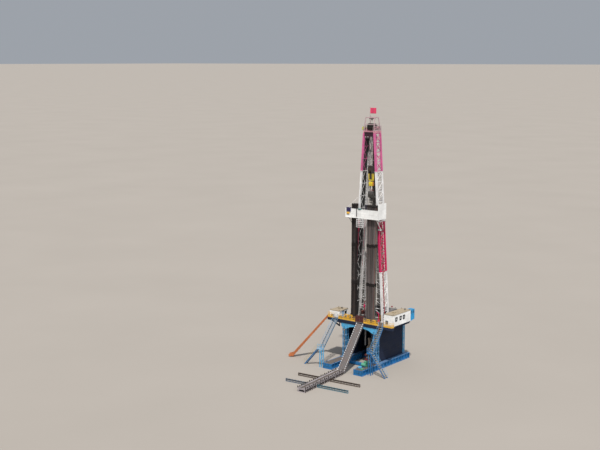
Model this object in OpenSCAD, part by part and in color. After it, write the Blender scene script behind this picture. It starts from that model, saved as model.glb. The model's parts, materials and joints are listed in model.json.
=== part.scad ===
// Land drilling rig, scale model at 1:2: cantilever mast with an open front,
// raised drill floor on a swing-up substructure, two cabins on brackets,
// pipe ramp, catwalk, stairs and escape slide. Millimetres, +Z up, the ramp
// side faces -Y. Layout origin: centre between the front mast legs on the
// ground; every piece is then moved so the whole box is centred on X and Y.

/* [Drill floor] */
// Height of the drill floor top
floor_z = 5250; // [4800:50:5600]
// Depth of the floor frame beams
floor_beam = 400; // [360:20:640]
// Half width of the main floor box
floor_half = 3200; // [3100:50:3400]
// Front edge of the floor
floor_front = -1700; // [-1800:50:-1650]
// Rear edge of the floor
floor_rear = 4700; // [4500:50:4900]
// Half width out to the cabin walkway edge
deck_half = 4600; // [4560:10:4650]

/* [Mast] */
// Underside of the crown platform
crown_z = 27250; // [26500:50:27600]
// Half spread of the legs at the floor
foot_half = 2150; // [2050:10:2200]
// Half spread of the legs at the crown
top_half = 720; // [680:10:760]
// Distance from front legs to rear legs
mast_depth = 1200; // [1100:20:1260]
// Side of the square front leg
leg_front = 210; // [150:10:220]
// Side of the square rear leg
leg_rear = 170; // [120:10:180]
// Bays in one of the four mast sections
bays = 5; // [4:1:6]

/* [Racking board] */
// Height of the racking board underside
board_z = 17500; // [17200:50:17700]
// Height of the wind wall panels
wind_h = 1080; // [900:20:1140]
// Half width of the board
board_half = 2270; // [2200:10:2300]

/* [Ramp and catwalk] */
// Width of the pipe ramp
ramp_w = 950; // [800:10:1000]
// Length of the catwalk
walk_len = 8000; // [7400:100:9000]
// Height of the catwalk deck
walk_h = 480; // [400:10:520]
// Width of the catwalk deck
walk_w = 1000; // [900:50:1300]

/* [Cabins] */
// Width of a cabin
cab_w = 1250; // [1200:10:1260]
// Height of a cabin
cab_h = 1300; // [1250:10:1400]
// Length of the right cabin
cab_len = 3600; // [3400:50:4400]
// Wall thickness of a cabin
cab_t = 40; // [30:5:50]

/* [Hidden] */
u = 500;                       // model millimetres in one real metre
function m(v) = v * u;
eps = 1;
deck_t = 40;
frame_top = floor_z - deck_t;
frame_bot = frame_top - floor_beam;
base_h = 650;
base_w = 1250;
base_x = 2180;
base_front = -5000;
base_rear = 5000;
well_y = 520;
board_front = -1340;
slide_y = -1465;
slide_x = -4780;
slide_turn = 27;                // the slide heads out and a little forward
slide_top = [0, floor_z - 120];
slide_foot = [-4120, 240];
slide_end = -4720;
rs_x = 3100;  rs_y = -3560;  rs_z = 2550;   // right stair landing corner
ls_x = -3340; ls_y = -4500;  ls_z = 2200;   // left stair landing corner
rs_foot_x = 5380;
walk_y0 = -5740;
walk_x = 180;
yard_turn = 5;                  // catwalk and racks lie a little askew
x_lo = slide_x + slide_end * cos(slide_turn) - 275 * sin(slide_turn);
x_hi = rs_foot_x;
y_lo = walk_y0 - walk_len * cos(yard_turn) - walk_w / 2 * sin(yard_turn);
y_hi = base_rear;
shift = [-(x_lo + x_hi) / 2, -(y_lo + y_hi) / 2, 0];

module place() { translate(shift) children(); }

// straight square bar from p to q
module beam(p, q, w, d) {
    v = q - p; l = norm(v);
    translate(p) rotate([0, acos(v[2] / l), atan2(v[1], v[0])])
        translate([-d / 2, -w / 2, 0]) cube([d, w, l]);
}
// straight round bar from p to q
module rod(p, q, r, n = 8) {
    v = q - p; l = norm(v);
    translate(p) rotate([0, acos(v[2] / l), atan2(v[1], v[0])])
        cylinder(r = r, h = l, $fn = n);
}
// box from corner to corner
module box(a, b) { translate(a) cube(b - a); }

// ---------------------------------------------------------------- base
module base_box(x) {
    box([x - base_w / 2, base_front, 0], [x + base_w / 2, base_rear, 50]);
    box([x - base_w / 2, base_front, base_h - 50], [x + base_w / 2, base_rear, base_h]);
    for (s = [-1, 1])
        box([x + s * (base_w / 2 - 170) - 30, base_front + 5, 40],
            [x + s * (base_w / 2 - 170) + 30, base_rear - 5, base_h - 40]);
    n = 16;
    for (i = [0 : n])
        let (y = base_front + 40 + i * (base_rear - base_front - 80) / n)
        box([x - base_w / 2 + 12, y - 20, 30], [x + base_w / 2 - 12, y + 20, base_h - 30]);
}
module base_boxes() {
    color("royalblue") place() { base_box(-base_x); base_box(base_x); }
}
module base_cross_beams() {
    color("royalblue") place()
        for (y = [-1500, 1600, 4600]) {
            box([-base_x + base_w / 2 + eps, y - 130, 80],
                [base_x - base_w / 2 - eps, y + 130, 380]);
        }
}

// four posts with rungs and diagonals, from z0 to z1
module lattice_column(x, y, z0, z1, w, bar, n) {
    h = (z1 - z0) / n;
    for (sx = [-1, 1]) for (sy = [-1, 1])
        box([x + sx * w / 2 - bar / 2, y + sy * w / 2 - bar / 2, z0],
            [x + sx * w / 2 + bar / 2, y + sy * w / 2 + bar / 2, z1]);
    for (i = [0 : n]) let (z = min(max(z0 + i * h, z0 + 35), z1 - 35)) {
        for (s = [-1, 1]) {
            box([x - w / 2, y + s * w / 2 - 22, z - 30], [x + w / 2, y + s * w / 2 + 22, z + 30]);
            box([x + s * w / 2 - 22, y - w / 2, z - 30], [x + s * w / 2 + 22, y + w / 2, z + 30]);
        }
    }
    for (i = [0 : n - 1]) let (a = z0 + i * h + 30, b = z0 + (i + 1) * h - 30, f = i % 2 == 0 ? 1 : -1)
        for (s = [-1, 1]) {
            beam([x - f * w / 2, y + s * w / 2, a], [x + f * w / 2, y + s * w / 2, b], 30, 40);
            beam([x + s * w / 2, y - f * w / 2, a], [x + s * w / 2, y + f * w / 2, b], 30, 40);
        }
}
module front_columns() {
    color("steelblue") place()
        for (s = [-1, 1]) lattice_column(s * base_x, -1330, base_h + eps, frame_bot - eps, 430, 100, 6);
}
module rear_columns() {
    color("skyblue") place()
        for (s = [-1, 1]) {
            lattice_column(s * base_x, 4340, base_h + eps, frame_bot - eps, 300, 80, 6);
        }
}
// inclined swing legs and rails of one side, in the plane of the base box
module side_frame(x) {
    lo = base_h + 70; hi = frame_bot - 70;
    box([x - 60, -1010, base_h + eps], [x + 60, 4110, base_h + 130]);
    box([x - 60, -1010, frame_bot - 130], [x + 60, 4110, frame_bot - eps]);
    for (y = [-900, 700, 2300])
        beam([x, y, lo], [x, y + 1500, hi], 110, 150);
    for (y = [850, 2450, 4000])
        box([x - 45, y - 45, lo], [x + 45, y + 45, hi]);
    for (y = [-900, 700, 2300])
        beam([x, y + 1500, lo], [x, y + 60, hi], 60, 80);
}
module side_bracing() {
    color("navy") place() for (s = [-1, 1]) side_frame(s * base_x);
}
// knee brackets of the portal under the front edge of the floor
module front_haunches() {
    color("deepskyblue") place() for (s = [-1, 1]) {
        z = frame_bot - eps;
        translate([0, -1620, 0]) rotate([90, 0, 0]) linear_extrude(78)
            polygon([[s * 560, z], [s * 2560, z], [s * 2560, z - 380], [s * 2280, z - 620],
                [s * 1880, z - 620], [s * 1300, z - 330], [s * 560, z - 200]]);
        translate([0, -1480, 0]) rotate([90, 0, 0]) linear_extrude(200)
            polygon([[s * 570, z], [s * 1860, z], [s * 1860, z - 600], [s * 1300, z - 322], [s * 570, z - 192]]);
        box([s * 1500 - 90, -1500, z - 200], [s * 1500 + 90, -900, z]);
    }
}
module cladding_panels() {
    color("midnightblue") place() {
        for (s = [-1, 1])
            box([s * (base_x + 130) - 15, -980, base_h + 20], [s * (base_x + 130) + 15, 4050, frame_bot - 20]);
        box([-base_x + 230, 4560, base_h + 20], [base_x - 230, 4590, frame_bot - 20]);
        box([-base_x + base_w / 2 + 20, 4560, 390], [base_x - base_w / 2 - 20, 4590, base_h + 30]);
    }
}

// --------------------------------------------------------------- floor
module floor_frame() {
    z0 = frame_bot; z1 = frame_top - eps;
    color("midnightblue") place() {
        for (y = [floor_front + 60, -700, 1700, 3200, floor_rear - 60])
            box([-floor_half, y - 60, z0], [floor_half, y + 60, z1]);
        for (s = [-1, 1]) for (x = [1050, base_x, floor_half - 60])
            box([s * x - 60, floor_front, z0 + 20], [s * x + 60, floor_rear, z1 - 3]);
        // lighter edge beams carry the walkway out past the main floor
        box([-deck_half, floor_front + 5, z1 - 300], [deck_half, floor_front + 95, z1 - 1]);
        for (s = [-1, 1])
            box([s * (deck_half - 45) - 45, floor_front + 10, z1 - 298], [s * (deck_half - 45) + 45, -1245, z1 - 2]);
    }
}
module drill_floor() {
    color("dimgray") place() difference() {
        box([-deck_half, floor_front, frame_top], [deck_half, floor_rear, floor_z]);
        // room for the cabins, the rotary table, the mouse hole and the ramp
        for (s = [-1, 1])
            box([s * (floor_half + 700) - 700 - (s < 0 ? 60 : -0), -1230, frame_top - 10],
                [s * (floor_half + 700) + 700 + (s < 0 ? 0 : 60), floor_rear + 10, floor_z + 10]);
        translate([0, well_y, frame_top - 10]) cylinder(r = 430, h = deck_t + 20, $fn = 64);
        translate([0, -700 + 350, frame_top - 10]) cylinder(r = 95, h = deck_t + 20, $fn = 32);
    }
}
module rotary_table() {
    color("slategray") place() translate([0, well_y, 0]) difference() {
        union() {
            translate([0, 0, floor_z - 180]) cylinder(r = 425, h = 180, $fn = 64);
            translate([0, 0, floor_z]) cylinder(r = 520, h = 50, $fn = 64);
        }
        translate([0, 0, floor_z - 200]) cylinder(r = 238, h = 300, $fn = 64);
    }
}
module setback_pads() {
    color("saddlebrown") place() for (x = [[-1860, -1060], [260, 1560]])
        box([x[0], -1080, floor_z + eps], [x[1], -250, floor_z + 50]);
}
module mouse_hole_tube() {
    color("gray") place() translate([0, -350, 0]) difference() {
        translate([0, 0, 2250]) cylinder(r = 85, h = floor_z + 60 - 2250, $fn = 32);
        translate([0, 0, 2280]) cylinder(r = 65, h = floor_z, $fn = 32);
    }
}
// flat rail panel between two points on the same level
module rail(p, q, h = 560, gap = 640) {
    v = q - p; l = norm(v); n = max(1, round(l / gap));
    for (i = [0 : n]) let (t = 12 / l + (1 - 24 / l) * i / n, a = p + v * t)
        translate(a) rotate([0, 0, atan2(v[1], v[0])]) translate([-10, -10, 0]) cube([20, 20, h]);
    for (z = [h - 10, h * 0.52])
        beam(p + [0, 0, z], q + [0, 0, z], 34, 34);
    beam(p + [0, 0, 70], q + [0, 0, 70], 12, 134);
}
module floor_railings() {
    z = floor_z + eps; f = floor_front + 30; e = deck_half - 30; r = floor_rear - 30;
    color("orange") place() {
        rail([ls_x + 300, f, z], [-620, f, z]);
        rail([-e + 15, f, z], [ls_x - 300, f, z]);
        rail([620, f, z], [rs_x - 330, f, z]);
        rail([rs_x + 330, f, z], [e - 15, f, z]);
        rail([e, f + 20, z], [e, -1260, z], 560, 300);
        rail([-3120, r, z], [3120, r, z]);
        // posts that carry the two gates
        for (s = [-1, 1])
            box([s * 553 - 25, floor_front + 105, z], [s * 553 + 25, floor_front + 155, floor_z + 840]);
    }
}
module gate(s) {
    z = floor_z + 70; h = 700; y = floor_front + 130;
    a = min(s * 10, s * 485); b = max(s * 10, s * 485);
    difference() {
        box([a, y - 18, z], [b, y + 18, z + h]);
        for (i = [0 : 1])
            box([a + 40, y - 30, z + 40 + i * 325], [b - 40, y - 8, z + 40 + i * 325 + 285]);
    }
    translate([s * 500, y, z - 10]) cylinder(r = 20, h = h + 30, $fn = 24);
    box([min(s * 484, s * 500), y - 8, z + 100], [max(s * 484, s * 500), y + 8, z + 160]);
    box([min(s * 484, s * 500), y - 8, z + 560], [max(s * 484, s * 500), y + 8, z + 620]);
}
module v_door_gate_left() { color("maroon") place() gate(-1); }
module v_door_gate_right() { color("maroon") place() gate(1); }

// ------------------------------------------------------ ramp, catwalk
ramp_x = 150;
ramp_top = [-1704, floor_z - 70];
ramp_foot = [-5480, 260];
module v_door_ramp() {
    a = ramp_top; b = ramp_foot;
    d = b - a; l = norm(d); n = [-d[1], d[0]] / l;   // normal in the Y-Z plane
    up = n[1] > 0 ? n : -n;
    color("gray") place() {
        // sloping deck plate with its edge rails, drawn in the Y-Z plane
        for (s = [-1, 1])
            translate([ramp_x + s * (ramp_w / 2 - 30), 0, 0]) rotate([90, 0, 90]) translate([0, 0, -30])
                linear_extrude(60) polygon([a, b, b + [0, -250], b + [61, -250], a + [0, -330]]);
        translate([ramp_x, 0, 0]) rotate([90, 0, 90]) translate([0, 0, -ramp_w / 2 + 50])
            linear_extrude(ramp_w - 100) polygon([a + [0, -80], b + [0, -80], b + [0, -160], a + [0, -160]]);
        for (s = [-1, 1]) translate([ramp_x + s * (ramp_w / 2 - 30), 0, 0]) rotate([90, 0, 90]) translate([0, 0, -42])
            linear_extrude(84) polygon([a, b, b + up * 30, a + up * 30]);
        for (i = [1 : 9]) let (c = a + d * i / 10 + [0, -210])
            translate([ramp_x - ramp_w / 2 + 40, c[0] - 30, c[1] - 40]) cube([ramp_w - 80, 60, 80]);
    }
}
module yard() { translate([walk_x, walk_y0, 0]) rotate([0, 0, yard_turn]) translate([-walk_x, -walk_y0, 0]) children(); }
module catwalk() {
    y0 = walk_y0 - walk_len;
    color("dimgray") place() yard() translate([walk_x, 0, 0]) {
        box([-walk_w / 2, y0, walk_h - 45], [walk_w / 2, walk_y0, walk_h]);
        for (s = [-1, 1]) {
            box([s * (walk_w / 2 - 60) - 45, y0 + 5, walk_h - 200], [s * (walk_w / 2 - 60) + 45, walk_y0 - 5, walk_h - 40]);
            box([s * (walk_w / 2 - 60) - 45, y0 + 5, 0], [s * (walk_w / 2 - 60) + 45, walk_y0 - 5, 70]);
        }
        n = 10;
        for (i = [0 : n]) let (y = y0 + 60 + i * (walk_len - 120) / n) {
            for (s = [-1, 1]) box([s * (walk_w / 2 - 60) - 35, y - 35, 60], [s * (walk_w / 2 - 60) + 35, y + 35, walk_h - 190]);
            box([-walk_w / 2 + 60, y - 30, walk_h - 190], [walk_w / 2 - 60, y + 30, walk_h - 40]);
            box([-walk_w / 2 + 60, y - 30, 5], [walk_w / 2 - 60, y + 30, 60]);
        }
    }
}
module rack_beam(x0, x1, y) {
    box([x0, y - 90, 0], [x1, y + 90, 30]);
    box([x0 + 2, y - 20, 20], [x1 - 2, y + 20, 330]);
    box([x0, y - 60, 300], [x1, y + 60, 340]);
    for (x = [x0 + 60 : (x1 - x0 - 120) / 6 : x1 - 59])
        translate([x, y, 0]) rotate([90, 0, 90]) translate([0, 0, -14]) linear_extrude(28)
            polygon([[-85, 25], [85, 25], [50, 310], [-50, 310]]);
}
module pipe_racks() {
    color("saddlebrown") place() yard() for (y = [-8700, -11250]) {
        rack_beam(-3500, walk_x - walk_w / 2 - 40, y);
        rack_beam(walk_x + walk_w / 2 + 40, 4600, y);
    }
}
module escape_slide() {
    a = slide_top; b = slide_foot;
    color("chocolate") place() translate([slide_x, slide_y, 0]) rotate([0, 0, slide_turn]) {
        // trough: floor and two walls on one slope with a flat run-out
        for (s = [-1, 1]) translate([0, s * 260, 0]) rotate([90, 0, 0]) translate([0, 0, -15])
            linear_extrude(30) polygon([a + [0, 230], b + [-60, 270], [slide_end, 330], [slide_end, 60], b + [-20, -90], a + [0, -60]]);
        box([-8, -270, slide_top[1] + 20], [8, 270, slide_top[1] + 60]);
        rotate([90, 0, 0]) translate([0, 0, -244]) linear_extrude(488)
            polygon([a, b, [slide_end, 150], [slide_end, 110], b + [-18, -40], a + [0, -45]]);
        for (x = [-4180, -4600]) for (s = [-1, 1])
            box([x - 25, s * 222 - 20, 0], [x + 25, s * 222 + 20, 140]);
    }
    color("chocolate") place() box([slide_x - 90, slide_y - 225, floor_z - 185], [-deck_half - 4, slide_y + 225, floor_z - 150]);
}

// -------------------------------------------------------------- stairs
// one flight down along +X from [0,0,0]: side panels with rails, loose treads
module flight(run, drop, w, n) {
    l = norm([run, drop]); ux = run / l; uz = -drop / l;
    for (s = [-1, 1]) translate([0, s * w / 2, 0]) {
        rotate([90, 0, 0]) translate([0, 0, -12]) linear_extrude(24)
            polygon([[0, 0], [run, -drop], [run, -drop - 0], [run - 150, -drop], [0, -170]]);
        rotate([90, 0, 0]) translate([0, 0, -11]) linear_extrude(22)
            polygon([[0, 540], [run, -drop + 540], [run, -drop + 510], [0, 510]]);
        rotate([90, 0, 0]) translate([0, 0, -9]) linear_extrude(18)
            polygon([[0, 290], [run, -drop + 290], [run, -drop + 270], [0, 270]]);
        k = max(2, round(run / 560));
        for (i = [0 : k]) let (x = 14 + (run - 28) * i / k, z = -drop * x / run)
            box([x - 11, -10, z - 30 + (i == k ? 31 : 0)], [x + 11, 10, z + 530]);
    }
    for (i = [1 : n - 1]) let (x = run * i / n, z = -drop * i / n)
        box([x - 70, -w / 2 + 14, z - 6], [x + 62, w / 2 - 14, z + 14]);
}
module stair_turn(p, a, run, drop, w, n) { translate(p) rotate([0, 0, a]) flight(run, drop, w, n); }

rs_run = 2180;
module right_stair_upper() {
    color("steelblue") place()
        stair_turn([rs_x, floor_front - 4, floor_z - 8], -90, -rs_y + floor_front - 10, floor_z - 8 - rs_z - 20, 570, 14);
}
module right_stair_landing() {
    color("steelblue") place() {
        box([rs_x - 300, rs_y - 560, rs_z - 60], [rs_x + 300, rs_y, rs_z]);
        for (x = [-135, 215]) for (y = [0, 1])
            box([rs_x + x - 24, rs_y - 60 - 400 * y - 24, 0], [rs_x + x + 24, rs_y - 60 - 400 * y + 24, rs_z - 50]);
        for (x = [-135, 215]) for (z = [300, 1350])
            beam([rs_x + x, rs_y - 60, z], [rs_x + x, rs_y - 460, z + 950], 24, 30);
        for (z = [200, 1250]) for (y = [0, 1])
            box([rs_x - 135, rs_y - 60 - 400 * y - 16, z], [rs_x + 215, rs_y - 60 - 400 * y + 16, z + 40]);
        rail([rs_x - 285, rs_y - 10, rs_z - 5], [rs_x - 285, rs_y - 540, rs_z - 5], 560, 400);
        rail([rs_x - 295, rs_y - 545, rs_z - 5], [rs_x + 290, rs_y - 545, rs_z - 5], 560, 400);
    }
}
module right_stair_lower() {
    color("steelblue") place()
        stair_turn([rs_x + 304, rs_y - 280, rs_z - 8], 0, rs_foot_x - rs_x - 304, rs_z - 8, 500, 13);
}
module left_stair_upper() {
    color("steelblue") place()
        stair_turn([ls_x, floor_front - 4, floor_z - 8], -90, -ls_y + floor_front - 10, floor_z - 8 - ls_z - 20, 500, 15);
}
module left_stair_landing() {
    color("skyblue") place() {
        box([ls_x - 300, ls_y - 520, ls_z - 60], [ls_x + 360, ls_y, ls_z]);
        for (x = [60, 320]) for (y = [0, 1])
            box([ls_x + x - 30, ls_y - 60 - 400 * y - 30, 0], [ls_x + x + 30, ls_y - 60 - 400 * y + 30, ls_z - 50]);
        for (x = [60, 320]) for (z = [250, 1150])
            beam([ls_x + x, ls_y - 60, z], [ls_x + x, ls_y - 460, z + 850], 30, 40);
        for (z = [200, 1100, 1900]) for (y = [0, 1])
            box([ls_x + 60, ls_y - 60 - 400 * y - 20, z], [ls_x + 320, ls_y - 60 - 400 * y + 20, z + 50]);
        rail([ls_x + 345, ls_y - 10, ls_z - 5], [ls_x + 345, ls_y - 500, ls_z - 5], 560, 400);
        rail([ls_x - 290, ls_y - 505, ls_z - 5], [ls_x + 350, ls_y - 505, ls_z - 5], 560, 400);
    }
}
module left_stair_lower() {
    color("steelblue") place()
        stair_turn([ls_x - 304, ls_y - 260, ls_z - 8], 180, 1950, ls_z - 8, 460, 12);
}

// -------------------------------------------------------------- cabins
cab_z = floor_z + 60;
module cabin_wall_set(x0, x1, y0, y1) {
    z0 = cab_z + eps; z1 = cab_z + cab_h; t = cab_t;
    // end walls between the long walls
    box([x0 + t + eps, y0, z0], [x1 - t - eps, y0 + t, z1]);
    box([x0 + t + eps, y1 - t, z0], [x1 - t - eps, y1, z1]);
}
module right_cabin_walls() {
    x0 = floor_half; x1 = floor_half + cab_w; y0 = -1220; y1 = y0 + cab_len;
    z0 = cab_z + eps; z1 = cab_z + cab_h; t = cab_t;
    color("white") place() {
        cabin_wall_set(x0, x1, y0, y1);
        difference() {
            box([x1 - t, y0, z0], [x1, y1, z1]);
            for (y = [430, 1330, 2020])
                box([x1 - t - 5, y0 + y, z0 + 560], [x1 + 5, y0 + y + 340, z0 + 960]);
        }
        difference() {
            box([x0, y0, z0], [x0 + t, y1, z1]);
            box([x0 - 5, y0 + 500, z0 - 1], [x0 + t + 5, y0 + 940, z0 + 1000]);
            for (y = [1450, 2350])
                box([x0 - 5, y0 + y, z0 + 480], [x0 + t + 5, y0 + y + 620, z0 + 950]);
        }
    }
}
left_len = 1720;
lcz = floor_z - 330;            // the short cabin sits lower
lcw = 1380;
lch = 1080;
module left_cabin_walls() {
    x0 = -floor_half - lcw; x1 = -floor_half - 2; y0 = -1220; y1 = y0 + left_len;
    z0 = lcz + eps; z1 = lcz + lch; t = cab_t;
    color("white") place() {
        box([x0 + t + eps, y0, z0], [x1 - t - eps, y0 + t, z1]);
        box([x0 + t + eps, y1 - t, z0], [x1 - t - eps, y1, z1]);
        difference() {
            box([x0, y0, z0], [x0 + t, y1, z1]);
            for (y = [420, 1080])
                box([x0 - 5, y0 + y, z0 + 480], [x0 + t + 5, y0 + y + 420, z0 + 850]);
        }
        difference() {
            box([x1 - t, y0, z0], [x1, y1, z1]);
            box([x1 - t - 5, y0 + 500, z0 - 1], [x1 + 5, y0 + 940, z0 + 1000]);
            box([x1 - t - 5, y0 + 1060, z0 + 500], [x1 + 5, y0 + 1480, z0 + 900]);
        }
    }
}
module cabin_floors() {
    color("navy") place() {
        box([floor_half + 2, -1220, floor_z - 70], [floor_half + cab_w, -1220 + cab_len, cab_z]);
        box([-floor_half - lcw, -1220, lcz - 130], [-floor_half - 2, -1220 + left_len, lcz]);
    }
}
module cabin_roofs() {
    z = cab_z + cab_h + eps; zl = lcz + lch + eps;
    color("tan") place() {
        box([floor_half - 30, -1250, z], [floor_half + cab_w + 30, -1190 + cab_len, z + 50]);
        box([-floor_half - lcw - 15, -1250, zl], [-floor_half + 30, -1190 + left_len, zl + 50]);
    }
}
module cabin_doors() {
    z0 = cab_z + eps; y0 = -1220; t = cab_t;
    color("lightsteelblue") place() {
        box([floor_half + 6, y0 + 504, z0 + 4], [floor_half + t - 6, y0 + 936, z0 + 996]);
        box([-floor_half - 2 - t + 6, y0 + 504, lcz + 5], [-floor_half - 8, y0 + 936, lcz + 997]);
    }
}
module pane(x, y, w, z, h) { box([x - 5, y + 3, z + 3], [x + 5, y + w - 3, z + h - 3]); }
module cabin_windows() {
    z0 = cab_z + eps; y0 = -1220; t = cab_t;
    color("lightcyan") place() {
        for (y = [430, 1330, 2020]) pane(floor_half + cab_w - t / 2, y0 + y, 340, z0 + 560, 400);
        for (y = [1450, 2350]) pane(floor_half + t / 2, y0 + y, 620, z0 + 480, 470);
        for (y = [420, 1080]) pane(-floor_half - lcw + t / 2, y0 + y, 420, lcz + 481, 370);
        pane(-floor_half - 2 - t / 2, y0 + 1060, 420, lcz + 501, 400);
    }
}
// wall cabinet on the far end of the right cabin, on its own shelf
module cabin_end_cabinet() {
    y = -1220 + cab_len + 2;
    color("dodgerblue") place() {
        box([floor_half + 660, y, cab_z + 150], [floor_half + 1240, y + 940, cab_z + 1290]);
        translate([floor_half + 660, 0, 0]) rotate([90, 0, 90]) linear_extrude(580)
            polygon([[y, cab_z + 160], [y + 935, cab_z + 160], [y + 935, cab_z + 110], [y, cab_z - 40]]);
    }
}
module cabin_brackets() {
    h = 620;
    color("navy") place()
        for (s = [-1, 1]) for (y = (s > 0 ? [-1100, 0, 1100, 2200] : [-1100, -300, 420]))
            let (z = s > 0 ? floor_z - 71 : lcz - 131) translate([0, y, 0]) rotate([90, 0, 0]) translate([0, 0, -35]) linear_extrude(70)
                difference() {
                    polygon([[s * (floor_half + 2), z], [s * (floor_half + cab_w - 20), z],
                        [s * (floor_half + cab_w - 20), z - 90], [s * (floor_half + 102), z - h], [s * (floor_half + 2), z - h]]);
                    polygon([[s * (floor_half + 92), z - 80], [s * (floor_half + cab_w - 290), z - 80],
                        [s * (floor_half + 92), z - h + 190]]);
                }
}

// ----------------------------------------------------- floor machinery
module drawworks() {
    z = floor_z + eps;
    color("steelblue") place() {
        box([-1750, 2500, z], [1750, 4150, z + 90]);
        for (x = [-1650, 1050]) translate([x, 0, 0]) rotate([90, 0, 90]) linear_extrude(600)
            polygon([[2600, z + 80], [4050, z + 80], [4050, z + 700], [3750, z + 880], [2900, z + 880], [2600, z + 620]]);
        // drum between the housings with its two flanges
        translate([-1070, 3320, z + 520]) rotate([0, 90, 0]) cylinder(r = 230, h = 2140, $fn = 48);
        for (x = [-960, 880]) translate([x, 3320, z + 520]) rotate([0, 90, 0]) cylinder(r = 390, h = 70, $fn = 48);
        // guard over the rear of the drum
        translate([-1060, 0, 0]) rotate([90, 0, 90]) linear_extrude(2120)
            polygon([[3850, z + 80], [3890, z + 80], [3890, z + 700], [3680, z + 870], [3640, z + 840], [3850, z + 680]]);
    }
}

// ---------------------------------------------------------------- mast
mast_z0 = floor_z + 60;
levels = [mast_z0, mast_z0 + (crown_z - mast_z0) * 0.267, mast_z0 + (crown_z - mast_z0) * 0.533, mast_z0 + (crown_z - mast_z0) * 0.8, crown_z];
function half_at(z) = foot_half + (top_half - foot_half) * (z - mast_z0) / (crown_z - mast_z0);
function leg_pt(s, y, z) = [s * half_at(z), y, z];
module side_panel(s, z0, z1) {
    beam(leg_pt(s, 0, z0), leg_pt(s, 0, z1), leg_front, leg_front);
    beam(leg_pt(s, mast_depth, z0), leg_pt(s, mast_depth, z1), leg_rear, leg_rear);
    nb = z1 - z0 > 5000 ? bays : bays - 1; h = (z1 - z0) / nb;
    for (i = [0 : nb]) let (z = min(max(z0 + i * h, z0 + 50), z1 - 50))
        beam(leg_pt(s, 20, z), leg_pt(s, mast_depth - 20, z), 70, 70);
    for (i = [0 : nb - 1]) let (a = z0 + i * h + 60, b = z0 + (i + 1) * h - 60)
        beam(leg_pt(s, i % 2 == 0 ? 30 : mast_depth - 30, a), leg_pt(s, i % 2 == 0 ? mast_depth - 30 : 30, b), 60, 60);
}
module back_panel(z0, z1) {
    nb = z1 - z0 > 5000 ? bays : bays - 1; h = (z1 - z0) / nb; y = mast_depth; c = leg_rear / 2 + 14;
    function e(s, z) = leg_pt(s, y, z) - [s * c, 0, 0];
    for (i = [0 : nb]) let (z = min(max(z0 + i * h, z0 + 60), z1 - 60))
        beam(e(-1, z), e(1, z), 60, 60);
    // K bracing: each bay runs from the corners below to the middle above
    for (i = [0 : nb - 1]) let (a = z0 + i * h + 40, b = z0 + (i + 1) * h - 40) {
        for (s = [-1, 1]) beam(e(s, a) - [s * 30, 0, 0], [0, y, b], 50, 50);
        // the wide bays have a post in the middle
        if (half_at(z0) > 1400) box([-22, y - 22, a - 30], [22, y + 22, b + 30]);
    }
}
module mast_section(k) {
    z0 = levels[k - 1]; z1 = levels[k] - 1;
    place() {
        for (s = [-1, 1]) side_panel(s, z0, z1);
        if (k == 1) for (s = [-1, 1]) {
            box([s * foot_half - 170, -170, floor_z + eps], [s * foot_half + 170, 170, mast_z0 + 30]);
            box([s * foot_half - (s > 0 ? 78 : 150), mast_depth - 140, floor_z + eps], [s * foot_half + (s > 0 ? 150 : 78), mast_depth + 140, mast_z0 + 30]);
        }
    }
}
module mast_section_1() { color("white") mast_section(1); }
module mast_section_2() { color("crimson") mast_section(2); }
module mast_section_3() { color("white") mast_section(3); }
module mast_section_4() { color("crimson") mast_section(4); }
module mast_back_bracing() {
    color("whitesmoke") place() for (k = [0 : 3]) back_panel(levels[k], levels[k + 1] - 1);
}

// --------------------------------------------------------------- crown
crown_top = crown_z + 260;
shaft_z = crown_top + 470;
// dark beam between the front legs under the platform
module crown_header_beam() {
    color("black") place() {
        box([-604, -95, crown_z - 240], [604, -65, crown_z + 9]);
        for (z = [crown_z - 240, crown_z - 21]) box([-604, -95, z], [604, 35, z + 30]);
        for (x = [-604, -200, 170, 574]) box([x, -70, z_hb], [x + 30, 30, crown_z]);
    }
}
z_hb = crown_z - 230;
module crown_platform() {
    w = top_half + 60; y0 = -115; y1 = mast_depth + 115;
    color("slategray") place() difference() {
        union() {
            for (y = [0, mast_depth]) box([-w, y - 95, crown_z + 10], [w, y + 95, crown_top]);
            for (x = [-w + 60, w - 60]) box([x - 60, y0, crown_z + 34], [x + 60, y1, crown_top]);
            for (x = [-300, 300]) box([x - 30, 0, crown_z + 60], [x + 30, mast_depth, crown_top - 20]);
            box([-w, y0, crown_top - 30], [w, y1, crown_top]);
            // bracket and roller that lead the line out behind the mast
            for (x = [-52, 52]) translate([crown_x(5) + x, 0, 0]) rotate([90, 0, 90]) translate([0, 0, -12]) linear_extrude(24)
                polygon([[fast_y - 150, crown_top - 10], [fast_y + 55, crown_top - 10], [fast_y + 40, fast_z + 50], [fast_y - 40, fast_z + 50]]);
            translate([crown_x(5), fast_y, fast_z]) sheave(205, 60);
            translate([crown_x(5) - 60, fast_y, fast_z]) rotate([0, 90, 0]) cylinder(r = 42, h = 120, $fn = 32);
            // bearing cheeks of the sheave cluster
            for (s = [-1, 1]) translate([s * 520, 0, 0]) rotate([90, 0, 90]) translate([0, 0, -30]) linear_extrude(60)
                polygon([[150, crown_top - 10], [mast_depth - 150, crown_top - 10], [well_y + 150, shaft_z + 90], [well_y - 150, shaft_z + 90]]);
        }
        // bores and slots for the sheave shaft and the lines
        box([-450, well_y - 420, crown_z - 10], [-330, well_y + 420, crown_top + 10]);
        box([-260, well_y - 420, crown_z - 10], [260, well_y + 420, crown_top + 10]);
        box([330, well_y - 420, crown_z - 10], [450, well_y + 420, crown_top + 10]);
        translate([-600, well_y, shaft_z]) rotate([0, 90, 0]) cylinder(r = 66, h = 1200, $fn = 48);
    }
}
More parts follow.
